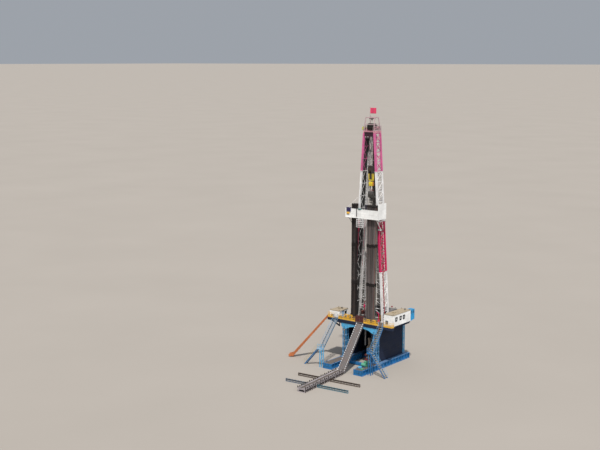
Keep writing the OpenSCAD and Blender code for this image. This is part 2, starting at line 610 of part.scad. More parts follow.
module sheave(r, w) {
    rotate([0, 90, 0]) rotate_extrude($fn = 64)
        polygon([[40, -w / 2], [r, -w / 2], [r, -w / 2 + 10], [r - 35, -12], [r - 35, 12], [r, w / 2 - 10], [r, w / 2], [40, w / 2]]);
}
module crown_sheaves() {
    color("black") place() translate([0, well_y, shaft_z]) {
        translate([-560, 0, 0]) rotate([0, 90, 0]) cylinder(r = 64, h = 1120, $fn = 48);
        for (i = [0 : 5]) translate([-375 + i * 150, 0, 0]) sheave(380, 80);
    }
}
module crown_top_frame() {
    z0 = crown_top + eps; z1 = 29050; t = 50;
    b = [[-1, -60], [1, -60], [1, 1260], [-1, 1260]];
    color("mistyrose") place() {
        for (q = b) {
            beam([q[0] * 690, q[1], z0 + 13], [q[0] * 590, well_y + (q[1] - well_y) * 0.62, z1], 80, 80);
            box([q[0] * 690 - 65, q[1] - 65, z0], [q[0] * 690 + 65, q[1] + 65, z0 + 24]);
        }
        for (k = [0.5, 1]) let (z = z0 + k * (z1 - z0) - 30, x = 690 - 100 * k, f = 1 - 0.38 * k,
                ya = well_y + (-60 - well_y) * f, yb = well_y + (1260 - well_y) * f) {
            for (y = [ya, yb]) beam([-x, y, z], [x, y, z], 60, k > 0.9 ? 110 : 60);
            for (s = [-1, 1]) beam([s * x, ya, z], [s * x, yb, z], 50, 50);
        }
        // head beam and the pole of the flag
        let (yp = well_y + (1260 - well_y) * 0.62) {
            beam([0, well_y - 360, z1 - 30], [0, well_y + 460, z1 - 30], 70, 70);
            rod([-590, yp, z1 - 20], [-590, yp, 30200], 18, 12);
        }
        for (s = [-1, 1]) {
            rail([s * 745, -95, crown_top + eps], [s * 745, 1295, crown_top + eps], 560, 500);
        }
    }
}
module flag() {
    yp = well_y + (1260 - well_y) * 0.62;
    color("red") place() translate([-566, yp - 6, 29440]) rotate([0, 0, 8]) cube([780, 12, 680]);
}

// ---------------------------------------------------- hoisting machine
block_z = 22150;
module travelling_block() {
    z = block_z;
    color("gold") place() translate([0, well_y, 0]) {
        for (s = [-1, 1]) translate([s * 235, 0, 0]) rotate([90, 0, 90]) translate([0, 0, -25]) linear_extrude(50)
            polygon([[-300, z - 120], [-200, z - 420], [200, z - 420], [300, z - 120], [330, z + 400], [390, z + 900], [300, z + 1290], [-300, z + 1290], [-390, z + 900], [-330, z + 400]]);
        box([-250, -160, z - 420], [250, 160, z - 300]);
        box([-250, -150, z + 1240], [250, 150, z + 1290]);
        box([-215, -120, z - 310], [215, 120, z + 470]);
        translate([-250, 0, z + 860]) rotate([0, 90, 0]) cylinder(r = 55, h = 500, $fn = 32);
        for (i = [0 : 4]) translate([-164 + i * 82, 0, z + 860]) sheave(355, 56);
        // hook body under the block
        translate([0, 0, z - 560]) cylinder(r = 70, h = 160, $fn = 32);
        box([-300, -240, z - 1060], [190, 240, z - 540]);
        box([190 - eps, -120, z - 1030], [330, 120, z - 560]);
    }
}
module top_drive() {
    z = block_z - 1064;
    color("dimgray") place() translate([0, well_y, 0]) {
        for (s = [-1, 1]) box([s * 170 - 40, -40, z - 620], [s * 170 + 40, 40, z - eps]);
        box([-330, -260, z - 1350], [330, 300, z - 600]);
        translate([0, 0, z - 1750]) cylinder(r = 150, h = 420, $fn = 32);
        translate([0, 0, z - 2050]) cylinder(r = 60, h = 320, $fn = 32);
        box([-120, 290, z - 1300], [120, 520, z - 700]);
        for (s = [-1, 1]) box([s * 240 - 30, -30, z - 1950], [s * 240 + 30, 30, z - 1330]);
        box([-270, -60, z - 1990], [270, 60, z - 1900]);
    }
}
function crown_x(i) = -375 + 150 * i;
module drilling_lines() {
    z0 = block_z + 1292;
    color("black") place() translate([0, well_y, 0])
        for (i = [0 : 4]) {
            rod([-164 + i * 82, 332, z0], [crown_x(i), 359, shaft_z - 4], 12, 6);
            rod([-164 + i * 82, -332, z0], [crown_x(i + 1), -359, shaft_z - 4], 12, 6);
        }
}
fast_y = mast_depth + 130;
fast_z = crown_top + 300;
module fast_line() {
    color("black") place() {
        // from the last crown sheave over the rear roller and down to the drum
        rod([crown_x(5), well_y + 141, shaft_z + 332], [crown_x(5), fast_y + 76, fast_z + 180], 12, 6);
        rod([crown_x(5), fast_y + 195, fast_z], [300, 3076, floor_z + 560], 12, 6);
        // dead line inside the mast down to its anchor
        rod([crown_x(0), well_y - 359, shaft_z - 4], [-1750, 110, floor_z + 520], 12, 6);
        box([-1850, 10, floor_z + eps], [-1650, 210, floor_z + 500]);
    }
}
module guide_rail() {
    x = 0; y = mast_depth - 80;
    color("dimgray") place() {
        for (s = [-1, 1])
            box([x + s * 200 - 40, y - 20, floor_z + 1100], [x + s * 200 + 40, y + 45, crown_z - 300]);
        box([x - 170, y + 5, floor_z + 1110], [x + 170, y + 25, crown_z - 310]);
    }
}
module standpipe() {
    y = 250; za = floor_z + 70; zt = levels[1] - 80; o = 175;
    xa = half_at(za) + o; xt = half_at(zt) + o;
    color("darkred") place() {
        rod([xa, y, za], [xt, y, zt], 50, 12);
        rod([xt, y, zt - 25], [xt + 60, y + 60, zt + 150], 49, 12);
        rod([xt + 55, y + 55, zt + 135], [xt + 60, y + 250, zt + 190], 48, 12);
        rod([xt + 60, y + 240, zt + 192], [xt + 30, y + 380, zt + 90], 47, 12);
        box([xa - 100, y - 70, floor_z + eps], [xa + 100, y + 90, floor_z + 80]);
    }
}

// ------------------------------------------------------- racking board
finger_y = [for (i = [0 : 5]) -975 + i * 120];
module racking_board() {
    z = board_z; t = 90;
    color("whitesmoke") place() {
        box([-board_half, board_front, z], [board_half, board_front + 90, z + t]);
        for (s = [-1, 1]) {
            box([s * board_half - (s > 0 ? 90 : 0), board_front, z + 1], [s * board_half + (s > 0 ? 0 : 90), 240, z + t - 1]);
            box([min(s * board_half, s * 1480), 160, z + 2], [max(s * board_half, s * 1480), 240, z + t - 2]);
            // fingers between the rows of pipe
            for (y = finger_y)
                box([s > 0 ? 260 : -board_half + 40, y - 15, z + 20], [s > 0 ? board_half - 40 : -480, y + 15, z + 60]);
            box([s > 0 ? 150 : -480, board_front + 20, z + 4], [s > 0 ? 290 : -340, -250, z + t - 4]);
            // support braces down to the legs
            beam([s * 1960, board_front + 60, z + 40], [s * 1860, -150, z - 1300], 60, 60);
            box([min(s * 1480, s * 1920), -215, z - 1400], [max(s * 1480, s * 1920), -120, z - 1230]);
        }
        box([-350, board_front + 20, z + 30], [160, -500, z + 50]);
        box([-board_half + 20, -320, z + 3], [board_half - 20, -235, z + t - 5]);
    }
}
module wind_wall() {
    z = board_z - 20; h = wind_h; y = board_front - 32;
    color("white") place() {
        box([-board_half - 30, y, z], [-820, y + 30, z + h]);
        box([-640, y, z], [board_half + 30, y + 30, z + h]);
        box([board_half + 1, y + 32, z], [board_half + 30, 250, z + h + 760]);
        box([-board_half - 30, y + 32, z], [-board_half - 1, 250, z + h]);
    }
}
module ladder_basket() {
    x0 = -460; x1 = 390; y = board_front - 90; z0 = 16500; z1 = board_z - 30;
    color("white") place() {
        for (x = [x0, x1]) for (yy = [y, y - 320])
            box([x - 18, yy - 18, z0], [x + 18, yy + 18, z1]);
        for (z = [z0 : 220 : z1 - 10]) for (yy = [y, y - 320])
            box([x0, yy - 12, z], [x1, yy + 12, z + 26]);
        for (z = [z0 : 440 : z1 - 10]) for (x = [x0, x1])
            box([x - 12, y - 320, z + 1], [x + 12, y, z + 25]);
        box([x0, y - 320, z0 + 2], [x1, y, z0 + 22]);
        for (x = [x0, x1]) box([x - 18, y - 18, z1 - 60], [x + 18, board_front + 60, z1 - 1]);
    }
}
module mast_ladder() {
    y = mast_depth - 210; za = floor_z + 4; zb = crown_z - 350;
    color("silver") place() {
        for (o = [190, 470]) beam([-half_at(za) + o, y, za], [-half_at(zb) + o, y, zb], 30, 40);
        n = 84;
        for (i = [1 : n]) let (t = i / (n + 1), x = -half_at(za) + t * (half_at(za) - half_at(zb)), z = za + t * (zb - za))
            box([x + 190, y - 10, z - 10], [x + 470, y + 10, z + 10]);
    }
}
// stands racked on end: slabs one row thick, joined at the tool joints
module stands(x0, x1, lean) {
    z0 = floor_z + 52; z1 = 19080;
    for (i = [0 : 4]) let (y = -915 + i * 120)
        translate([0, y, 0]) rotate([90, 0, 0]) translate([0, 0, -33]) linear_extrude(66)
            polygon([[x0, z0], [x1, z0], [x1 + lean, z1], [x0, z1]]);
    for (z = [z0 + 4550, z0 + 9150]) let (o = lean * (z - z0) / (z1 - z0))
        box([x0 - 6, -960, z], [x1 + o + 6, -390, z + 260]);
}
module pipe_stands_left() { color("black") place() stands(-1770, -1150, 60); }
module pipe_stands_right() { color("dimgray") place() stands(350, 1450, 290); }

base_boxes();
base_cross_beams();
front_columns();
rear_columns();
side_bracing();
front_haunches();
cladding_panels();
floor_frame();
drill_floor();
rotary_table();
setback_pads();
mouse_hole_tube();
floor_railings();
v_door_gate_left();
v_door_gate_right();
v_door_ramp();
catwalk();
pipe_racks();
escape_slide();
left_stair_upper();
left_stair_lower();
left_stair_landing();
right_stair_upper();
right_stair_lower();
right_stair_landing();
right_cabin_walls();
left_cabin_walls();
cabin_floors();
cabin_roofs();
cabin_doors();
cabin_windows();
cabin_end_cabinet();
cabin_brackets();
drawworks();
mast_section_1();
mast_section_2();
mast_section_3();
mast_section_4();
mast_back_bracing();
crown_header_beam();
crown_platform();
crown_sheaves();
crown_top_frame();
flag();
travelling_block();
top_drive();
drilling_lines();
fast_line();
guide_rail();
standpipe();
racking_board();
wind_wall();
ladder_basket();
mast_ladder();
pipe_stands_left();
pipe_stands_right();
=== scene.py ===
import bpy
import json
import math
import random
from mathutils import Matrix, Vector


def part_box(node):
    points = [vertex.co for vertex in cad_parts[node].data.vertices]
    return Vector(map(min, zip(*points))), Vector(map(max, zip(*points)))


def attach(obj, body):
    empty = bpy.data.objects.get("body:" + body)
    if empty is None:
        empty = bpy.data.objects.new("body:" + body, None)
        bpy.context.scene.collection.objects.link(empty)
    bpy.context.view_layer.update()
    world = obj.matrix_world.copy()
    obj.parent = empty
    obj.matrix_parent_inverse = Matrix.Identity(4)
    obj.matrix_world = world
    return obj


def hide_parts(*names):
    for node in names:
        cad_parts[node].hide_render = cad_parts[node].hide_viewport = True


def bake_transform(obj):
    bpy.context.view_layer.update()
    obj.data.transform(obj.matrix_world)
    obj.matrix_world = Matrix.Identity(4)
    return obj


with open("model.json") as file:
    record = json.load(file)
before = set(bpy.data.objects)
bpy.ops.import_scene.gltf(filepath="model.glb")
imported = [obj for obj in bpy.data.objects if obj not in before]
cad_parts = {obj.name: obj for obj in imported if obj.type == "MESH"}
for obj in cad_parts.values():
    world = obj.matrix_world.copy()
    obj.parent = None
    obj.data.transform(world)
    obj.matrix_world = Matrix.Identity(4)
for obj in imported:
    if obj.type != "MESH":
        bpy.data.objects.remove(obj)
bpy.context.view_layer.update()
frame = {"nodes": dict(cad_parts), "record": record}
NODES = frame["nodes"]
random.seed(11)

# The layout origin of the part: between the front legs of the mast, on the ground.
_lo, _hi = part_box("base_boxes")
SX, SY = (_lo.x + _hi.x) / 2, (_lo.y + _hi.y) / 2


def L(x, y, z):
    """A layout point in metres, in the row frame."""
    return Vector((x + SX, y + SY, z))


# ------------------------------------------------------------------ camera
def make_camera():
    pitch = math.radians(8.97)
    fx, fy, fz = -0.61337202, 0.77425097, -0.15591729
    cam = bpy.data.cameras.new("camera")
    ob = bpy.data.objects.new("camera", cam)
    bpy.context.scene.collection.objects.link(ob)
    ob.location = L(68.42517, -99.18793, 35.55)
    ob.rotation_euler = (math.pi / 2 - pitch, 0, math.atan2(-fx, fy))
    cam.sensor_width = 36
    cam.lens = 1045 / 600 * 36
    cam.clip_start = 1
    cam.clip_end = 30000
    cam.dof.use_dof = False
    bpy.context.scene.camera = ob
    return ob


CAMERA = make_camera()


# --------------------------------------------------------------- materials
class Graph:
    """A material's node tree with short calls."""

    def __init__(self, name):
        self.m = bpy.data.materials.new(name)
        self.m.use_nodes = True
        self.t = self.m.node_tree
        self.t.nodes.clear()
        self.out = self.t.nodes.new("ShaderNodeOutputMaterial")
        self.b = self.t.nodes.new("ShaderNodeBsdfPrincipled")
        self.t.links.new(self.b.outputs[0], self.out.inputs[0])
        self.co = self.t.nodes.new("ShaderNodeTexCoord").outputs["Object"]

    def link(self, a, b):
        self.t.links.new(a, b)

    def mapping(self, scale=(1, 1, 1), rot=(0, 0, 0), loc=(0, 0, 0)):
        n = self.t.nodes.new("ShaderNodeMapping")
        n.inputs["Scale"].default_value = scale
        n.inputs["Rotation"].default_value = rot
        n.inputs["Location"].default_value = loc
        self.link(self.co, n.inputs["Vector"])
        return n.outputs[0]

    def noise(self, scale, detail=4, rough=0.55, vec=None, dist=0.0):
        n = self.t.nodes.new("ShaderNodeTexNoise")
        n.inputs["Scale"].default_value = scale
        n.inputs["Detail"].default_value = detail
        n.inputs["Roughness"].default_value = rough
        n.inputs["Distortion"].default_value = dist
        self.link(vec if vec is not None else self.co, n.inputs["Vector"])
        return n.outputs["Fac"]

    def voronoi(self, scale, vec=None, feature="F1", out="Distance"):
        n = self.t.nodes.new("ShaderNodeTexVoronoi")
        n.feature = feature
        n.inputs["Scale"].default_value = scale
        self.link(vec if vec is not None else self.co, n.inputs["Vector"])
        return n.outputs[out]

    def wave(self, scale, vec=None, axis="X", dist=0.0, profile="SIN"):
        n = self.t.nodes.new("ShaderNodeTexWave")
        n.wave_type = "BANDS"
        n.bands_direction = axis
        n.wave_profile = profile
        n.inputs["Scale"].default_value = scale
        n.inputs["Distortion"].default_value = dist
        n.inputs["Detail"].default_value = 2
        self.link(vec if vec is not None else self.co, n.inputs["Vector"])
        return n.outputs["Fac"]

    def ramp(self, fac, stops):
        n = self.t.nodes.new("ShaderNodeValToRGB")
        cr = n.color_ramp
        while len(cr.elements) < len(stops):
            cr.elements.new(0.5)
        for e, (p, c) in zip(cr.elements, stops):
            e.position = p
            e.color = (c, c, c, 1) if isinstance(c, (int, float)) else (*c[:3], 1)
        self.link(fac, n.inputs[0])
        return n.outputs[0]

    def mix(self, fac, a, b, blend="MIX"):
        n = self.t.nodes.new("ShaderNodeMix")
        n.data_type = "RGBA"
        n.blend_type = blend
        n.clamp_result = True
        for sock, v in ((n.inputs["Factor"], fac), (n.inputs["A"], a), (n.inputs["B"], b)):
            if isinstance(v, (int, float)):
                sock.default_value = v if sock.name == "Factor" else (v, v, v, 1)
            elif isinstance(v, (tuple, list)):
                sock.default_value = (*v[:3], 1)
            else:
                self.link(v, sock)
        return n.outputs["Result"]

    def math(self, op, a, b=0.5, clamp=False):
        n = self.t.nodes.new("ShaderNodeMath")
        n.operation = op
        n.use_clamp = clamp
        for i, v in enumerate((a, b)):
            if isinstance(v, (int, float)):
                n.inputs[i].default_value = v
            else:
                self.link(v, n.inputs[i])
        return n.outputs[0]

    def sep(self, vec=None):
        n = self.t.nodes.new("ShaderNodeSeparateXYZ")
        self.link(vec if vec is not None else self.co, n.inputs[0])
        return n.outputs

    def rng(self, v, a, b, c, d):
        n = self.t.nodes.new("ShaderNodeMapRange")
        for i, x in enumerate((a, b, c, d)):
            n.inputs[i + 1].default_value = x
        self.link(v, n.inputs[0])
        return n.outputs[0]

    def bump(self, h, strength=0.2, dist=0.01, prev=None):
        n = self.t.nodes.new("ShaderNodeBump")
        n.inputs["Strength"].default_value = strength
        n.inputs["Distance"].default_value = dist
        self.link(h, n.inputs["Height"])
        if prev is not None:
            self.link(prev, n.inputs["Normal"])
        self.link(n.outputs[0], self.b.inputs["Normal"])
        return n.outputs[0]

    def done(self, color=None, rough=None, metallic=None):
        if color is not None:
            self.link(color, self.b.inputs["Base Color"])
        if rough is not None:
            if isinstance(rough, (int, float)):
                self.b.inputs["Roughness"].default_value = rough
            else:
                self.link(rough, self.b.inputs["Roughness"])
        if metallic is not None:
            if isinstance(metallic, (int, float)):
                self.b.inputs["Metallic"].default_value = metallic
            else:
                self.link(metallic, self.b.inputs["Metallic"])
        return self.m


def shade(c, k):
    return tuple(min(1.0, x * k) for x in c[:3])


RUST = (0.17, 0.065, 0.025)
DUST = (0.42, 0.34, 0.25)


def painted(name, c, wear=0.35, dirt=0.35, rough=0.42, streak=0.5, dust=0.25, dirt_c=None, size=1.0):
    """Outdoor machine paint: faded patches, runs of dirt, dust on what faces up, chips to rust."""
    g = Graph(name)
    big = g.noise(0.9 * size, 5, 0.6)
    col = g.mix(g.ramp(big, [(0.32, 0.0), (0.68, 1.0)]), shade(c, 0.80), shade(c, 1.10))
    fine = g.noise(14 * size, 4, 0.65)
    col = g.mix(g.math("MULTIPLY", g.ramp(fine, [(0.4, 0.0), (0.75, 1.0)]), 0.35), col, shade(c, 0.62))
    run = g.noise(7.0 * size, 4, 0.6, g.mapping((1.0, 1.0, 0.10)))
    dc = dirt_c or shade(c, 0.30)
    col = g.mix(g.math("MULTIPLY", g.ramp(run, [(0.50, 0.0), (0.74, 1.0)]), streak * dirt), col, dc)
    geo = g.t.nodes.new("ShaderNodeNewGeometry")
    up = g.sep(geo.outputs["Normal"])[2]
    patch = g.noise(3.2 * size, 5, 0.7)
    onto = g.math("MULTIPLY", g.rng(up, 0.5, 1.0, 0.0, 1.0), g.ramp(patch, [(0.30, 0.25), (0.65, 1.0)]))
    col = g.mix(g.math("MULTIPLY", onto, dust), col, DUST)
    chip = g.noise(26 * size, 6, 0.72, dist=0.4)
    area = g.noise(1.7 * size, 3, 0.5)
    mask = g.math("MULTIPLY", g.ramp(chip, [(0.61, 0.0), (0.645, 1.0)]), g.ramp(area, [(0.42, 0.0), (0.62, 1.0)]))
    mask = g.math("MULTIPLY", mask, wear)
    col = g.mix(mask, col, g.mix(fine, shade(RUST, 0.6), shade(RUST, 1.5)))
    r = g.math("ADD", g.rng(big, 0.3, 0.7, rough - 0.07, rough + 0.1), g.math("MULTIPLY", mask, 0.35), True)
    h = g.math("SUBTRACT", g.math("MULTIPLY", fine, 0.4), g.math("MULTIPLY", mask, 0.8))
    g.bump(h, 0.18, 0.006)
    return g.done(col, r, 0.0)


def bare_steel(name, c, rust=0.5, rough=0.5, metallic=0.7, streak=0.4):
    g = Graph(name)
    a = g.noise(2.6, 6, 0.65)
    b = g.noise(22, 5, 0.7)
    col = g.mix(a, shade(c, 0.72), shade(c, 1.25))
    run = g.noise(9, 4, 0.6, g.mapping((1, 1, 0.06)))
    col = g.mix(g.math("MULTIPLY", g.ramp(run, [(0.46, 0.0), (0.72, 1.0)]), streak), col, shade(c, 0.4))
    m = g.math("MULTIPLY", g.ramp(g.math("ADD", g.math("MULTIPLY", a, 0.6), g.math("MULTIPLY", b, 0.4)), [(0.47, 0.0), (0.62, 1.0)]), rust)
    col = g.mix(m, col, g.mix(b, shade(RUST, 0.55), shade(RUST, 1.25)))
    g.bump(b, 0.12, 0.003)
    return g.done(col, g.rng(b, 0.3, 0.7, rough - 0.08, rough + 0.14), g.rng(m, 0.0, 1.0, metallic, 0.1))


def rope_steel(name, c):
    g = Graph(name)
    v = g.mapping((60, 60, 60), rot=(0.0, 0.6, 0.4))
    lay = g.wave(1.6, v, "DIAGONAL")
    n = g.noise(4, 4, 0.6)
    # the lay bands are lighter on the crests and darker in the grooves: painted highlight and painted shade along the
    # strands
    col = g.mix(lay, shade(c, 0.55), shade(c, 1.5))
    col = g.mix(g.math("MULTIPLY", n, 0.5), col, (0.03, 0.025, 0.02))
    g.bump(lay, 0.4, 0.002)
    return g.done(col, g.rng(n, 0.3, 0.7, 0.42, 0.62), 0.55)


def timber(name, c):
    g = Graph(name)
    grain = g.noise(5, 8, 0.68, g.mapping((0.5, 9, 9)), 1.2)
    patch = g.noise(1.6, 4, 0.6)
    col = g.mix(g.ramp(grain, [(0.3, 0.0), (0.7, 1.0)]), shade(c, 0.5), shade(c, 1.35))
    col = g.mix(g.math("MULTIPLY", g.ramp(patch, [(0.45, 0.0), (0.7, 1.0)]), 0.6), col, (0.035, 0.028, 0.022))
    g.bump(grain, 0.35, 0.004)
    return g.done(col, g.rng(grain, 0.3, 0.7, 0.62, 0.85), 0.0)


def pane(name, c):
    g = Graph(name)
    n = g.noise(3, 4, 0.6)
    col = g.mix(g.ramp(n, [(0.4, 0.0), (0.7, 1.0)]), shade(c, 0.6), shade(c, 1.5))
    g.b.inputs["Specular IOR Level"].default_value = 0.7
    g.b.inputs["IOR"].default_value = 1.5
    return g.done(col, g.rng(n, 0.35, 0.75, 0.05, 0.16), 0.0)


def cloth(name, c):
    g = Graph(name)
    wx = g.wave(180, None, "X")
    wz = g.wave(180, None, "Z")
    w = g.math("MULTIPLY", wx, wz)
    n = g.noise(6, 4, 0.6)
    col = g.mix(n, shade(c, 0.72), shade(c, 1.15))
    col = g.mix(g.math("MULTIPLY", w, 0.25), col, shade(c, 0.55))
    g.bump(w, 0.3, 0.0008)
    g.b.inputs["Sheen Weight"].default_value = 0.3
    g.b.inputs["Sheen Roughness"].default_value = 0.5
    return g.done(col, g.rng(n, 0.3, 0.7, 0.7, 0.85), 0.0)


MAT = {}


